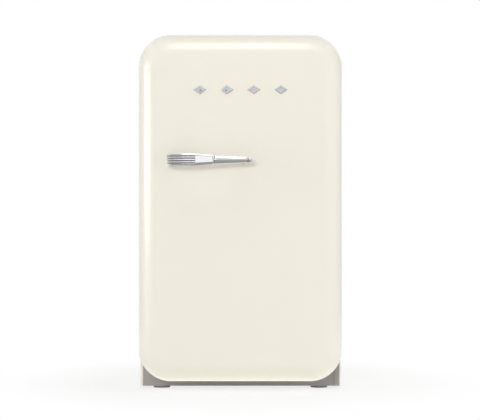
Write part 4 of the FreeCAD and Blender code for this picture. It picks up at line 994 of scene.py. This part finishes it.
class FRIDGE_OT_dial(bpy.types.Operator):
    """Builds the ribbed thermostat dial with its numbers and the mark over it"""
    bl_idname = "fridge.dial"
    bl_label = "Thermostat dial"

    # Height of the disc's face over the wall, and half the thickness of the ink.
    FACE = 0.012
    INK = 0.00006
    LAST_NUMBER = 7
    SWEEP = 270

    def execute(self, context):
        sizes = context.scene.fridge_sizes
        low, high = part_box("thermostat_knob")
        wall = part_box("control_housing")[0].y
        axis = Vector(((low.x + high.x) / 2, wall, (low.z + high.z) / 2))
        radius, top = (high.x - low.x) / 2, wall - low.y
        pieces = [self.disc(wall - high.y), self.grip(top), self.line(top)]
        for number in range(self.LAST_NUMBER + 1):
            pieces.append(self.figure(number, sizes.digit_height))
        for piece in pieces:
            upright(piece, axis)
        pieces.append(self.ribs(axis, radius, sizes.knurls))
        mount(joined("thermostat_dial", pieces), "thermostat", "grey_plastic", "thermostat_knob")
        gap = Vector((0, 0, radius + 0.0015))
        mount(upright(self.mark(), axis + gap), "cabinet", "grey_plastic")
        return {"FINISHED"}

    def disc(self, end):
        face = self.FACE
        return lathed("dial_disc", [
            (0.0039, end), (0.0039, 0.0012), (0.0115, 0.0010), (0.0124, 0.0012), (0.0126, 0.0020),
            (0.0125, 0.0090), (0.0120, face - 0.0006), (0.0117, face - 0.0001), (0.0114, face),
            (0.0092, face), (0.0089, face + 0.0003), (0.0084, face + 0.0004),
            (0.003, face + 0.0004)], 72, "grey_plastic", 30.0)

    def grip(self, top):
        """The bar across the face that two fingers hold."""
        across, along = 0.0027, 0.0080
        rings = []
        for height, within in ((self.FACE, 0.0), (top - 0.0010, 0.0002), (top - 0.0003, 0.0006),
                               (top, 0.0013)):
            outline = [squared(a, 0.5) for a in turns(40)]
            rings.append([Vector(((across - within) * x, (along - within) * y, height))
                          for x, y in outline])
        return skinned("dial_grip", rings, "grey_plastic", 40.0)

    def line(self, top):
        """The pale line along the bar that points at a number."""
        bm = bmesh.new()
        block(bm, (-0.0004, 0.0030, top - 0.0004), (0.0004, 0.0072, top + 0.00002))
        return settle("dial_line", bm, "nylon")

    def figure(self, number, height):
        """One number, centred and turned in its place round the face."""
        ring, share_of_size = 0.0103, 0.7
        curve = bpy.data.curves.new("digit", "FONT")
        curve.body = str(number)
        curve.size = height / share_of_size
        curve.extrude = self.INK
        curve.align_x = "CENTER"
        curve.align_y = "CENTER"
        helper = placed("digit", curve)
        piece = baked(helper, f"digit_{number}")
        drop(helper)
        piece.data.materials.clear()
        piece.data.materials.append(FINISHES["dial_ink"])
        turn = Matrix.Rotation(-math.radians(number * self.SWEEP / self.LAST_NUMBER), 4, "Z")
        piece.data.transform(turn @ Matrix.Translation((0, ring, self.FACE + self.INK)))
        return piece

    def ribs(self, axis, radius, count):
        thick = 0.00055
        master = lathed("dial_rib", [(0.0002, 0.0016), (0.0005, 0.0020), (thick, 0.0088),
                                     (0.0002, 0.0096)], 8, "grey_plastic", 60.0)
        ring = radius - thick
        places = [(axis + Vector((ring * math.cos(a), 0, ring * math.sin(a))), FRONT)
                  for a in turns(count)]
        return spots("dial_ribs", places, master, "grey_plastic", angle=60.0)

    def mark(self):
        """The small triangle on the housing that the numbers turn past."""
        half = 0.0009
        rings = [[Vector((0, -half, z)), Vector((half, half, z)), Vector((-half, half, z))]
                 for z in (0.0, 2 * self.INK)]
        return skinned("dial_mark", rings, "dial_ink")


class FRIDGE_OT_lamp(bpy.types.Operator):
    """Builds the ribbed lens under the lamp"""
    bl_idname = "fridge.lamp"
    bl_label = "Lamp lens"

    def execute(self, context):
        low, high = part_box("lamp_lens")
        rib = context.scene.fridge_sizes.lens_rib
        bm = bmesh.new()
        block(bm, (low.x, low.y, low.z + rib), (high.x, high.y, high.z))
        corners = [e for e in bm.edges if abs(e.verts[0].co.z - e.verts[1].co.z) > 0.001]
        bmesh.ops.bevel(bm, geom=corners, offset=0.003, segments=5, affect="EDGES")
        lower = [e for e in bm.edges if all(v.co.z < low.z + rib + 1e-6 for v in e.verts)]
        bmesh.ops.bevel(bm, geom=lower, offset=0.0006, segments=2, affect="EDGES")
        plate = settle("lens_plate", bm, "lamp_diffuser", 40.0)
        tip, margin = 0.0008, 0.006
        half = (high.x - low.x) / 2 - 0.0022
        master = lathed("lens_rib", [(0.4 * rib, -half), (rib, -half + tip), (rib, half - tip),
                                     (0.4 * rib, half)], 12, "lamp_diffuser", 60.0)
        pitch = 2.2 * rib
        count = int((high.y - low.y - margin) / pitch)
        start = (low.y + high.y) / 2 - (count - 1) * pitch / 2
        places = [((0, start + i * pitch, low.z + rib), RIGHT) for i in range(count)]
        ribs = spots("lens_ribs", places, master, "lamp_diffuser", angle=60.0)
        mount(joined("lamp_lens_ribbed", [plate, ribs]), "cabinet", "lamp_diffuser", "lamp_lens")
        return {"FINISHED"}


class FRIDGE_OT_screws(bpy.types.Operator):
    """Sets the hinge screws, the screws of the back and the crossbars"""
    bl_idname = "fridge.screws"
    bl_label = "Screws"

    def execute(self, context):
        self.hinge_screws()
        self.back_screws(context.scene.fridge_sizes.screw_head)
        return {"FINISHED"}

    def hinge_screws(self):
        low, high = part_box("hinge_screws")
        head, pitch = 0.004, 0.034
        flat = cross_screw("hinge_screw", head, rise=0.001, shank=0.002, reach=0.013, countersunk=True)
        rows = (low.z + head, low.z + head + pitch, high.z - head - pitch, high.z - head)
        places = [(((low.x + high.x) / 2, low.y, z), FRONT) for z in rows]
        mount(spots("hinge_screws_crossed", places, flat, "screw_zinc", spin=3.0, angle=40.0),
              "cabinet", "zinc_steel", "hinge_screws")

    def back_screws(self, head):
        """Screws of the back, the crossbars, the inlet, the strap and the terminal box."""
        pan = cross_screw("pan_screw", head, rise=0.0022, shank=0.0018, reach=0.004)
        margin, lowest, pitch = 0.012, 0.058, 0.192
        low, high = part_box("rear_panel")
        places = [((x, high.y, lowest + i * pitch), BACK) for x in inset(low.x, high.x, margin)
                  for i in range(4)]
        places += [((x, high.y, high.z - margin), BACK) for x in (-0.06, 0.06)]
        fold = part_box("cabinet_wrapper")[1]
        low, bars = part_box("rear_crossbars")
        rows = inset(low.z, bars.z, 0.010)
        places += [((x, fold.y, z), BACK) for z in rows for x in inset(-fold.x, fold.x, 0.006)]
        low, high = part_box("power_inlet")
        places += [((x, high.y, (low.z + high.z) / 2), BACK, 0.6) for x in inset(low.x, high.x, 0.004)]
        low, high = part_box("unit_strap")
        places += [(((low.x + high.x) / 2, bars.y, z), BACK, 0.9) for z in rows]
        low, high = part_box("terminal_box")
        margin = 0.008
        places += [((x, high.y, high.z - margin), BACK, 0.8) for x in inset(low.x, high.x, margin)]
        mount(spots("back_screws", places, pan, "screw_zinc", spin=3.0, angle=40.0), "cabinet",
              "zinc_steel")


def weld_ring(name, share):
    """A rippled ring of weld with radius one about local Z, half as thick outwards as upwards."""
    around = 8
    bm = bmesh.new()
    grid = []
    for a in turns(96):
        ripple = 1 + 0.10 * math.sin(a * 30) + 0.06 * math.sin(a * 7 + 1.3)
        ring = []
        for b in turns(around):
            r = 1 + share * 0.5 * ripple * math.cos(b)
            ring.append(bm.verts.new((r * math.cos(a), r * math.sin(a), share * ripple * math.sin(b))))
        grid.append(ring)
    for near, far in zip(grid, grid[1:] + grid[:1]):
        for k in range(around):
            n = (k + 1) % around
            bm.faces.new((near[k], far[k], far[n], near[n]))
    return settle(name, bm, "weld_steel", 80.0)


class FRIDGE_OT_unit(bpy.types.Operator):
    """Adds the bands, seam, rivets and weld beads of the cooling unit"""
    bl_idname = "fridge.unit"
    bl_label = "Cooling unit details"

    # Radii of the weld beads.
    JOINT, VESSEL_END = 0.0125, 0.0258

    def execute(self, context):
        low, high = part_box("boiler_casing")
        self.bands(low, high)
        self.seam(low, high)
        self.rivets(low, high)
        self.beads(context.scene.fridge_sizes.bead)
        return {"FINISHED"}

    def bands(self, low, high):
        """Two tie bands round the casing."""
        corner, margin = 0.014, 0.05
        strip = [(0, -0.006), (0.0006, -0.0062), (0.0009, -0.0058), (0.0009, 0.0058),
                 (0.0006, 0.0062), (0, 0.006)]
        centre = (low + high) / 2
        for name, z in zip(("lower", "upper"), inset(low.z, high.z, margin)):
            piece = run_round(f"casing_band_{name}", high.x - low.x, high.y - low.y, corner,
                              Vector((centre.x, centre.y, z)), UP, strip, "zinc_steel")
            mount(piece, "cabinet", "zinc_steel")

    def seam(self, low, high):
        """The folded seam up the back of the casing."""
        wide, proud = 0.004, 0.0012
        middle_x, back = (low.x + high.x) / 2, high.y - 0.0002
        rings = [[Vector((middle_x + wide * math.cos(a), back + proud * math.sin(a), z))
                  for a in (0, 0.5, 1.0, 1.57, 2.14, 2.64, math.pi)]
                 for z in inset(low.z, high.z, 0.001)]
        mount(skinned("casing_seam", rings, "zinc_steel", 60.0), "cabinet", "zinc_steel")

    def rivets(self, low, high):
        """A row of rivets beside the seam."""
        count, margin, aside = 8, 0.022, 0.0105
        master = lathed("rivet", [(0.0022, 0.0), (0.0022, 0.0003), (0.0019, 0.0008),
                                  (0.0012, 0.0011), (0.0007, 0.0011), (0.0005, 0.0007)],
                        20, "aluminium", 40.0)
        x, pitch = (low.x + high.x) / 2 + aside, (high.z - low.z - 2 * margin) / (count - 1)
        places = [((x, high.y, low.z + margin + i * pitch), BACK) for i in range(count)]
        mount(spots("casing_rivets", places, master, "aluminium"), "cabinet", "aluminium")

    def beads(self, bead):
        """Weld beads where the tubes join and at the ends of the vessel."""
        coil_low, coil_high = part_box("absorber_coil")
        low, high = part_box("absorber_vessel")
        level, unit = (low.z + high.z) / 2, (low.y + high.y) / 2
        boiler = middle("boiler_tube")
        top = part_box("boiler_tube")[1].z
        feed_low, feed_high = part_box("evaporator_tubes")
        coil_y = (coil_low.y + coil_high.y) / 2
        joints = [((coil_high.x - 0.009, coil_y, high.z - 0.001), UP, 0.0092),
                  ((boiler.x, unit, top - 0.0005), UP, self.JOINT),
                  ((feed_low.x + 0.007, coil_y, coil_high.z), UP, 0.0082),
                  ((feed_high.x - 0.007, unit, feed_low.z + 0.078), UP, 0.0072),
                  ((low.x + 0.057, unit, level - 0.014), RIGHT, 0.0052),
                  ((low.x + 0.001, unit, level - 0.014), RIGHT, 0.0052)]
        ends = [((x, unit, level), RIGHT, self.VESSEL_END) for x in (high.x - 0.012, low.x + 0.069)]
        for name, places, radius in (("joint_beads", joints, self.JOINT),
                                     ("vessel_beads", ends, self.VESSEL_END)):
            master = weld_ring(name + "_master", bead / radius)
            mount(spots(name, places, master, "weld_steel", spin=6.0, angle=80.0), "cabinet",
                  "black_steel")


class FRIDGE_OT_feet(bpy.types.Operator):
    """Turns the screw studs of the front feet, thread and all"""
    bl_idname = "fridge.feet"
    bl_label = "Foot studs"

    def execute(self, context):
        radius, pitch, collar_foot, collar_top = 0.0040, 0.00125, 0.006, 0.008
        root = 0.86 * radius
        for side in ("left", "right"):
            node = f"front_{side}_foot_stud"
            low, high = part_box(node)
            axis = (low + high) / 2
            collar = (high.x - low.x) / 2
            core = lathed("stud_core", [
                (radius, low.z), (radius, low.z + collar_foot), (collar, low.z + collar_foot),
                (collar, low.z + collar_top), (root, low.z + collar_top + 0.0001),
                (root, high.z - 0.001), (0.7 * radius, high.z)], 36, "screw_zinc", 40.0)
            core.data.transform(Matrix.Translation((axis.x, axis.y, 0)))
            base = Vector((axis.x, axis.y, low.z + collar_top + 0.0012))
            rise = high.z - 0.0022 - base.z
            host = placed("thread_host", bpy.data.meshes.new("thread_host"))
            thread = grow("stud_thread", host, thread_tree,
                          {"Radius": root, "Ridge": 0.13 * radius, "Turns": rise / pitch,
                           "Rise": rise, "Base": base, "Finish": FINISHES["screw_zinc"]}, 50.0)
            mount(joined(f"front_{side}_foot_thread", [core, thread]), f"front_{side}_foot",
                  "zinc_steel", node)
        return {"FINISHED"}


# ---------------------------------------------------------------- studio

def facing(place, target, axis="Z"):
    """The turn that points a local axis from a place to a target."""
    return (Vector(target) - Vector(place)).to_track_quat(axis, "Y").to_euler()


LEFT_CARD, TOP_CARD = (-1.23, -0.79, 0.515), (0.0, -1.45, 1.60)

# Name, place, turn, width, height, strength, soft edges, and soft edges of a window in the card.
# A soft edge is an axis, where the card is clear along it and where it is full.
CARDS = (
    ("left_reflector", LEFT_CARD, facing(LEFT_CARD, (-0.19, -0.19, 0.475)), 1.15, 0.65, 4.4,
     [("X", -0.56, -0.20), ("X", 0.57, 0.44), ("Y", -0.325, -0.19), ("Y", 0.325, 0.245)]),
    ("top_reflector", TOP_CARD, facing(TOP_CARD, (0.0, -0.19, 0.69)), 0.46, 1.80, 4.3,
     [("X", -0.23, -0.19), ("X", 0.23, 0.20), ("Y", -0.90, -0.35), ("Y", 0.90, 0.70)]),
    ("right_flag", (1.7, 0.1, 0.8), LEFT, 1.9, 2.8, 0.40),
    ("left_flag", (-1.7, 0.3, 0.8), RIGHT, 1.9, 2.0, 0.6),
    ("under_flag", (-0.05, -0.92, 0.361), UP, 1.1, 1.4, 0.33, [("Y", -0.70, -0.30)]),
    ("over_flag", (-0.18, -0.315, 0.645), DOWN, 0.24, 0.14, 0.3, [("X", 0.07, 0.045)]),
    ("door_flag", (-0.04, -0.60, 0.635), FRONT, 0.76, 0.59, 0.62,
     [("X", -0.38, -0.28), ("X", 0.38, 0.23), ("Y", 0.295, 0.165), ("Y", -0.295, -0.215)],
     [("X", -0.07, -0.055), ("X", 0.02, -0.015), ("Y", -0.06, -0.08)]),
    ("cap_flag", (-0.178, -0.285, 0.458), RIGHT, 0.12, 0.10, 0.62),
)


def masked(tree, place, edges):
    """The product of soft edges."""
    factor = None
    for axis, clear, full in edges:
        edge = ramp(tree, place[axis], clear, full, interpolation_type="SMOOTHSTEP")
        factor = edge if factor is None else maths(tree, "MULTIPLY", factor, edge)
    return factor


def card(name, place, turn, width, height, strength, fade=(), window=()):
    """A soft light card, with a window where asked, that only shows in reflections."""
    bm = bmesh.new()
    bmesh.ops.create_grid(bm, x_segments=1, y_segments=1, size=0.5)
    bmesh.ops.scale(bm, verts=bm.verts, vec=(width, height, 1.0))
    material = bpy.data.materials.new(name)
    material.use_nodes = True
    tree = material.node_tree
    tree.nodes.clear()
    surface = out(tree, "ShaderNodeEmission", {"Strength": strength})
    if fade:
        parts = put(tree, "ShaderNodeSeparateXYZ", {0: local_place(tree)}).outputs
        factor = masked(tree, parts, fade)
        if window:
            shut = maths(tree, "SUBTRACT", 1.0, masked(tree, parts, window))
            factor = maths(tree, "MULTIPLY", factor, shut)
        clear = out(tree, "ShaderNodeBsdfTransparent")
        surface = out(tree, "ShaderNodeMixShader", {0: factor, 1: clear, 2: surface})
    put(tree, "ShaderNodeOutputMaterial", {"Surface": surface})
    piece = placed(name, mesh_of(name, bm, material))
    piece.location = place
    piece.rotation_euler = turn
    piece.visible_camera = False
    piece.visible_diffuse = False
    piece.visible_shadow = False
    piece.visible_transmission = False


def soft_lamp(name, place, aim, width, height, energy):
    """A rectangular lamp that doesn't show in reflections."""
    lamp = bpy.data.lights.new(name, "AREA")
    lamp.shape = "RECTANGLE"
    lamp.size = width
    lamp.size_y = height
    lamp.energy = energy
    piece = placed(name, lamp)
    piece.location = place
    piece.rotation_euler = facing(place, aim, "-Z")
    piece.visible_glossy = False
    piece.visible_camera = False


def seen_directly(tree):
    """One for rays from the camera, from gloss and through glass."""
    path = put(tree, "ShaderNodeLightPath").outputs
    first = maths(tree, "MAXIMUM", path["Is Camera Ray"], path["Is Glossy Ray"])
    return maths(tree, "MAXIMUM", first, path["Is Transmission Ray"])


class FRIDGE_OT_studio(bpy.types.Operator):
    """Lays the floor, lights the fridge and sets the camera"""
    bl_idname = "fridge.studio"
    bl_label = "Studio"

    def execute(self, context):
        scene = context.scene
        scene.view_settings.view_transform = "Standard"
        self.world(scene)
        self.floor()
        self.lamps(scene.fridge_studio)
        for each in CARDS:
            card(*each)
        self.camera(scene)
        return {"FINISHED"}

    def lamps(self, studio):
        """Each lamp has a name, a place, what it is aimed at, a width, a height and its power."""
        low, high = SOLID_BOX
        centre = Vector(((low.x + high.x) / 2, 0.0, (low.z + high.z) / 2))
        door_low, door_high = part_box("door_skin")
        front = Vector((0.0, door_low.y, centre.z))
        under = door_low.y + 0.03
        for each in (
                ("front_lamp", (-0.8, -3.5, 1.15), front, 0.8, 0.6, studio.front),
                ("key_lamp", (0.0, -0.60, 2.10), (0.0, -0.15, 0.70), 1.6, 0.6, studio.key),
                ("left_lamp", (-1.9, -0.8, 0.6), front, 0.9, 1.2, studio.left),
                ("right_lamp", (1.9, -0.8, 0.6), front, 0.9, 1.2, studio.right),
                ("floor_bounce", (0.0, under, 0.002), (0.0, under, 1.0), door_high.x - door_low.x,
                 0.05, studio.bounce),
                ("rear_lamp", (0.9, 2.0, 1.7), centre, 1.4, 1.0, studio.rear)):
            soft_lamp(*each)

    def world(self, scene):
        """Dim light from all round, and plain white where it is seen."""
        world = bpy.data.worlds.new("studio")
        scene.world = world
        world.use_nodes = True
        tree = world.node_tree
        tree.nodes.clear()
        light, white = [out(tree, "ShaderNodeBackground", {"Color": WHITE, "Strength": strength})
                        for strength in (scene.fridge_studio.ambient, 1.0)]
        mixed = out(tree, "ShaderNodeMixShader", {0: seen_directly(tree), 1: light, 2: white})
        put(tree, "ShaderNodeOutputWorld", {"Surface": mixed})

    def floor(self):
        """A pale floor that melts into the white round it and keeps the shadow."""
        bm = bmesh.new()
        bmesh.ops.create_circle(bm, cap_ends=True, segments=96, radius=9.0)
        material, tree, shader = plain("floor", Roughness=0.9, Specular_IOR_Level=0.0)
        place = local_place(tree)
        speck = noise(tree, place, 3.0, Detail=3.0)
        tone = out(tree, "ShaderNodeMapRange", {"Value": speck, "To Min": 0.90, "To Max": 0.93})
        grey = out(tree, "ShaderNodeCombineColor", {0: tone, 1: tone, 2: tone})
        tree.links.new(grey, shader.inputs["Base Color"])
        away = put(tree, "ShaderNodeVectorMath", {0: place}, operation="LENGTH").outputs["Value"]
        fade = ramp(tree, away, 0.26, 0.55, interpolation_type="SMOOTHSTEP")
        lift = out(tree, "ShaderNodeMapRange", {"Value": fade, "To Min": 0.8})
        melt = maths(tree, "MULTIPLY", lift, seen_directly(tree))
        white = out(tree, "ShaderNodeEmission", {"Color": WHITE, "Strength": 1.0})
        mixed = out(tree, "ShaderNodeMixShader", {0: melt, 1: shader.outputs[0], 2: white})
        tree.links.new(mixed, tree.nodes["Material Output"].inputs["Surface"])
        floor = placed("floor", mesh_of("floor", bm, material))

    def camera(self, scene):
        studio = scene.fridge_studio
        data = bpy.data.cameras.new("camera")
        data.lens = studio.lens
        data.sensor_width = 36.0
        data.clip_start = 0.05
        camera = placed("camera", data)
        camera.location = (studio.aside, -studio.distance, studio.height)
        camera.rotation_euler = FRONT
        scene.camera = camera


# ---------------------------------------------------------------- panel and start

STEPS = (FRIDGE_OT_finishes, FRIDGE_OT_handle, FRIDGE_OT_lozenges, FRIDGE_OT_corner,
         FRIDGE_OT_seal, FRIDGE_OT_dial, FRIDGE_OT_lamp, FRIDGE_OT_screws, FRIDGE_OT_unit,
         FRIDGE_OT_feet, FRIDGE_OT_studio)


class FRIDGE_PT_panel(bpy.types.Panel):
    """Lists the colours, the sizes and the steps"""
    bl_idname = "FRIDGE_PT_panel"
    bl_label = "Mini fridge"
    bl_space_type = "VIEW_3D"
    bl_region_type = "UI"
    bl_category = "Fridge"

    def draw(self, context):
        for group in (context.scene.fridge_colours, context.scene.fridge_sizes,
                      context.scene.fridge_studio):
            column = self.layout.column(align=True)
            for name in group.__annotations__:
                column.prop(group, name)
        column = self.layout.column(align=True)
        for step in STEPS:
            column.operator(step.bl_idname)


CLASSES = (FridgeColours, FridgeSizes, FridgeStudio) + STEPS + (FRIDGE_PT_panel,)


def register():
    for each in CLASSES:
        bpy.utils.register_class(each)
    bpy.types.Scene.fridge_colours = PointerProperty(type=FridgeColours)
    bpy.types.Scene.fridge_sizes = PointerProperty(type=FridgeSizes)
    bpy.types.Scene.fridge_studio = PointerProperty(type=FridgeStudio)


def unregister():
    del bpy.types.Scene.fridge_studio
    del bpy.types.Scene.fridge_sizes
    del bpy.types.Scene.fridge_colours
    for each in reversed(CLASSES):
        bpy.utils.unregister_class(each)


def main():
    register()
    for step in STEPS:
        family, name = step.bl_idname.split(".")
        getattr(getattr(bpy.ops, family), name)()


if __name__ == "__main__":
    main()
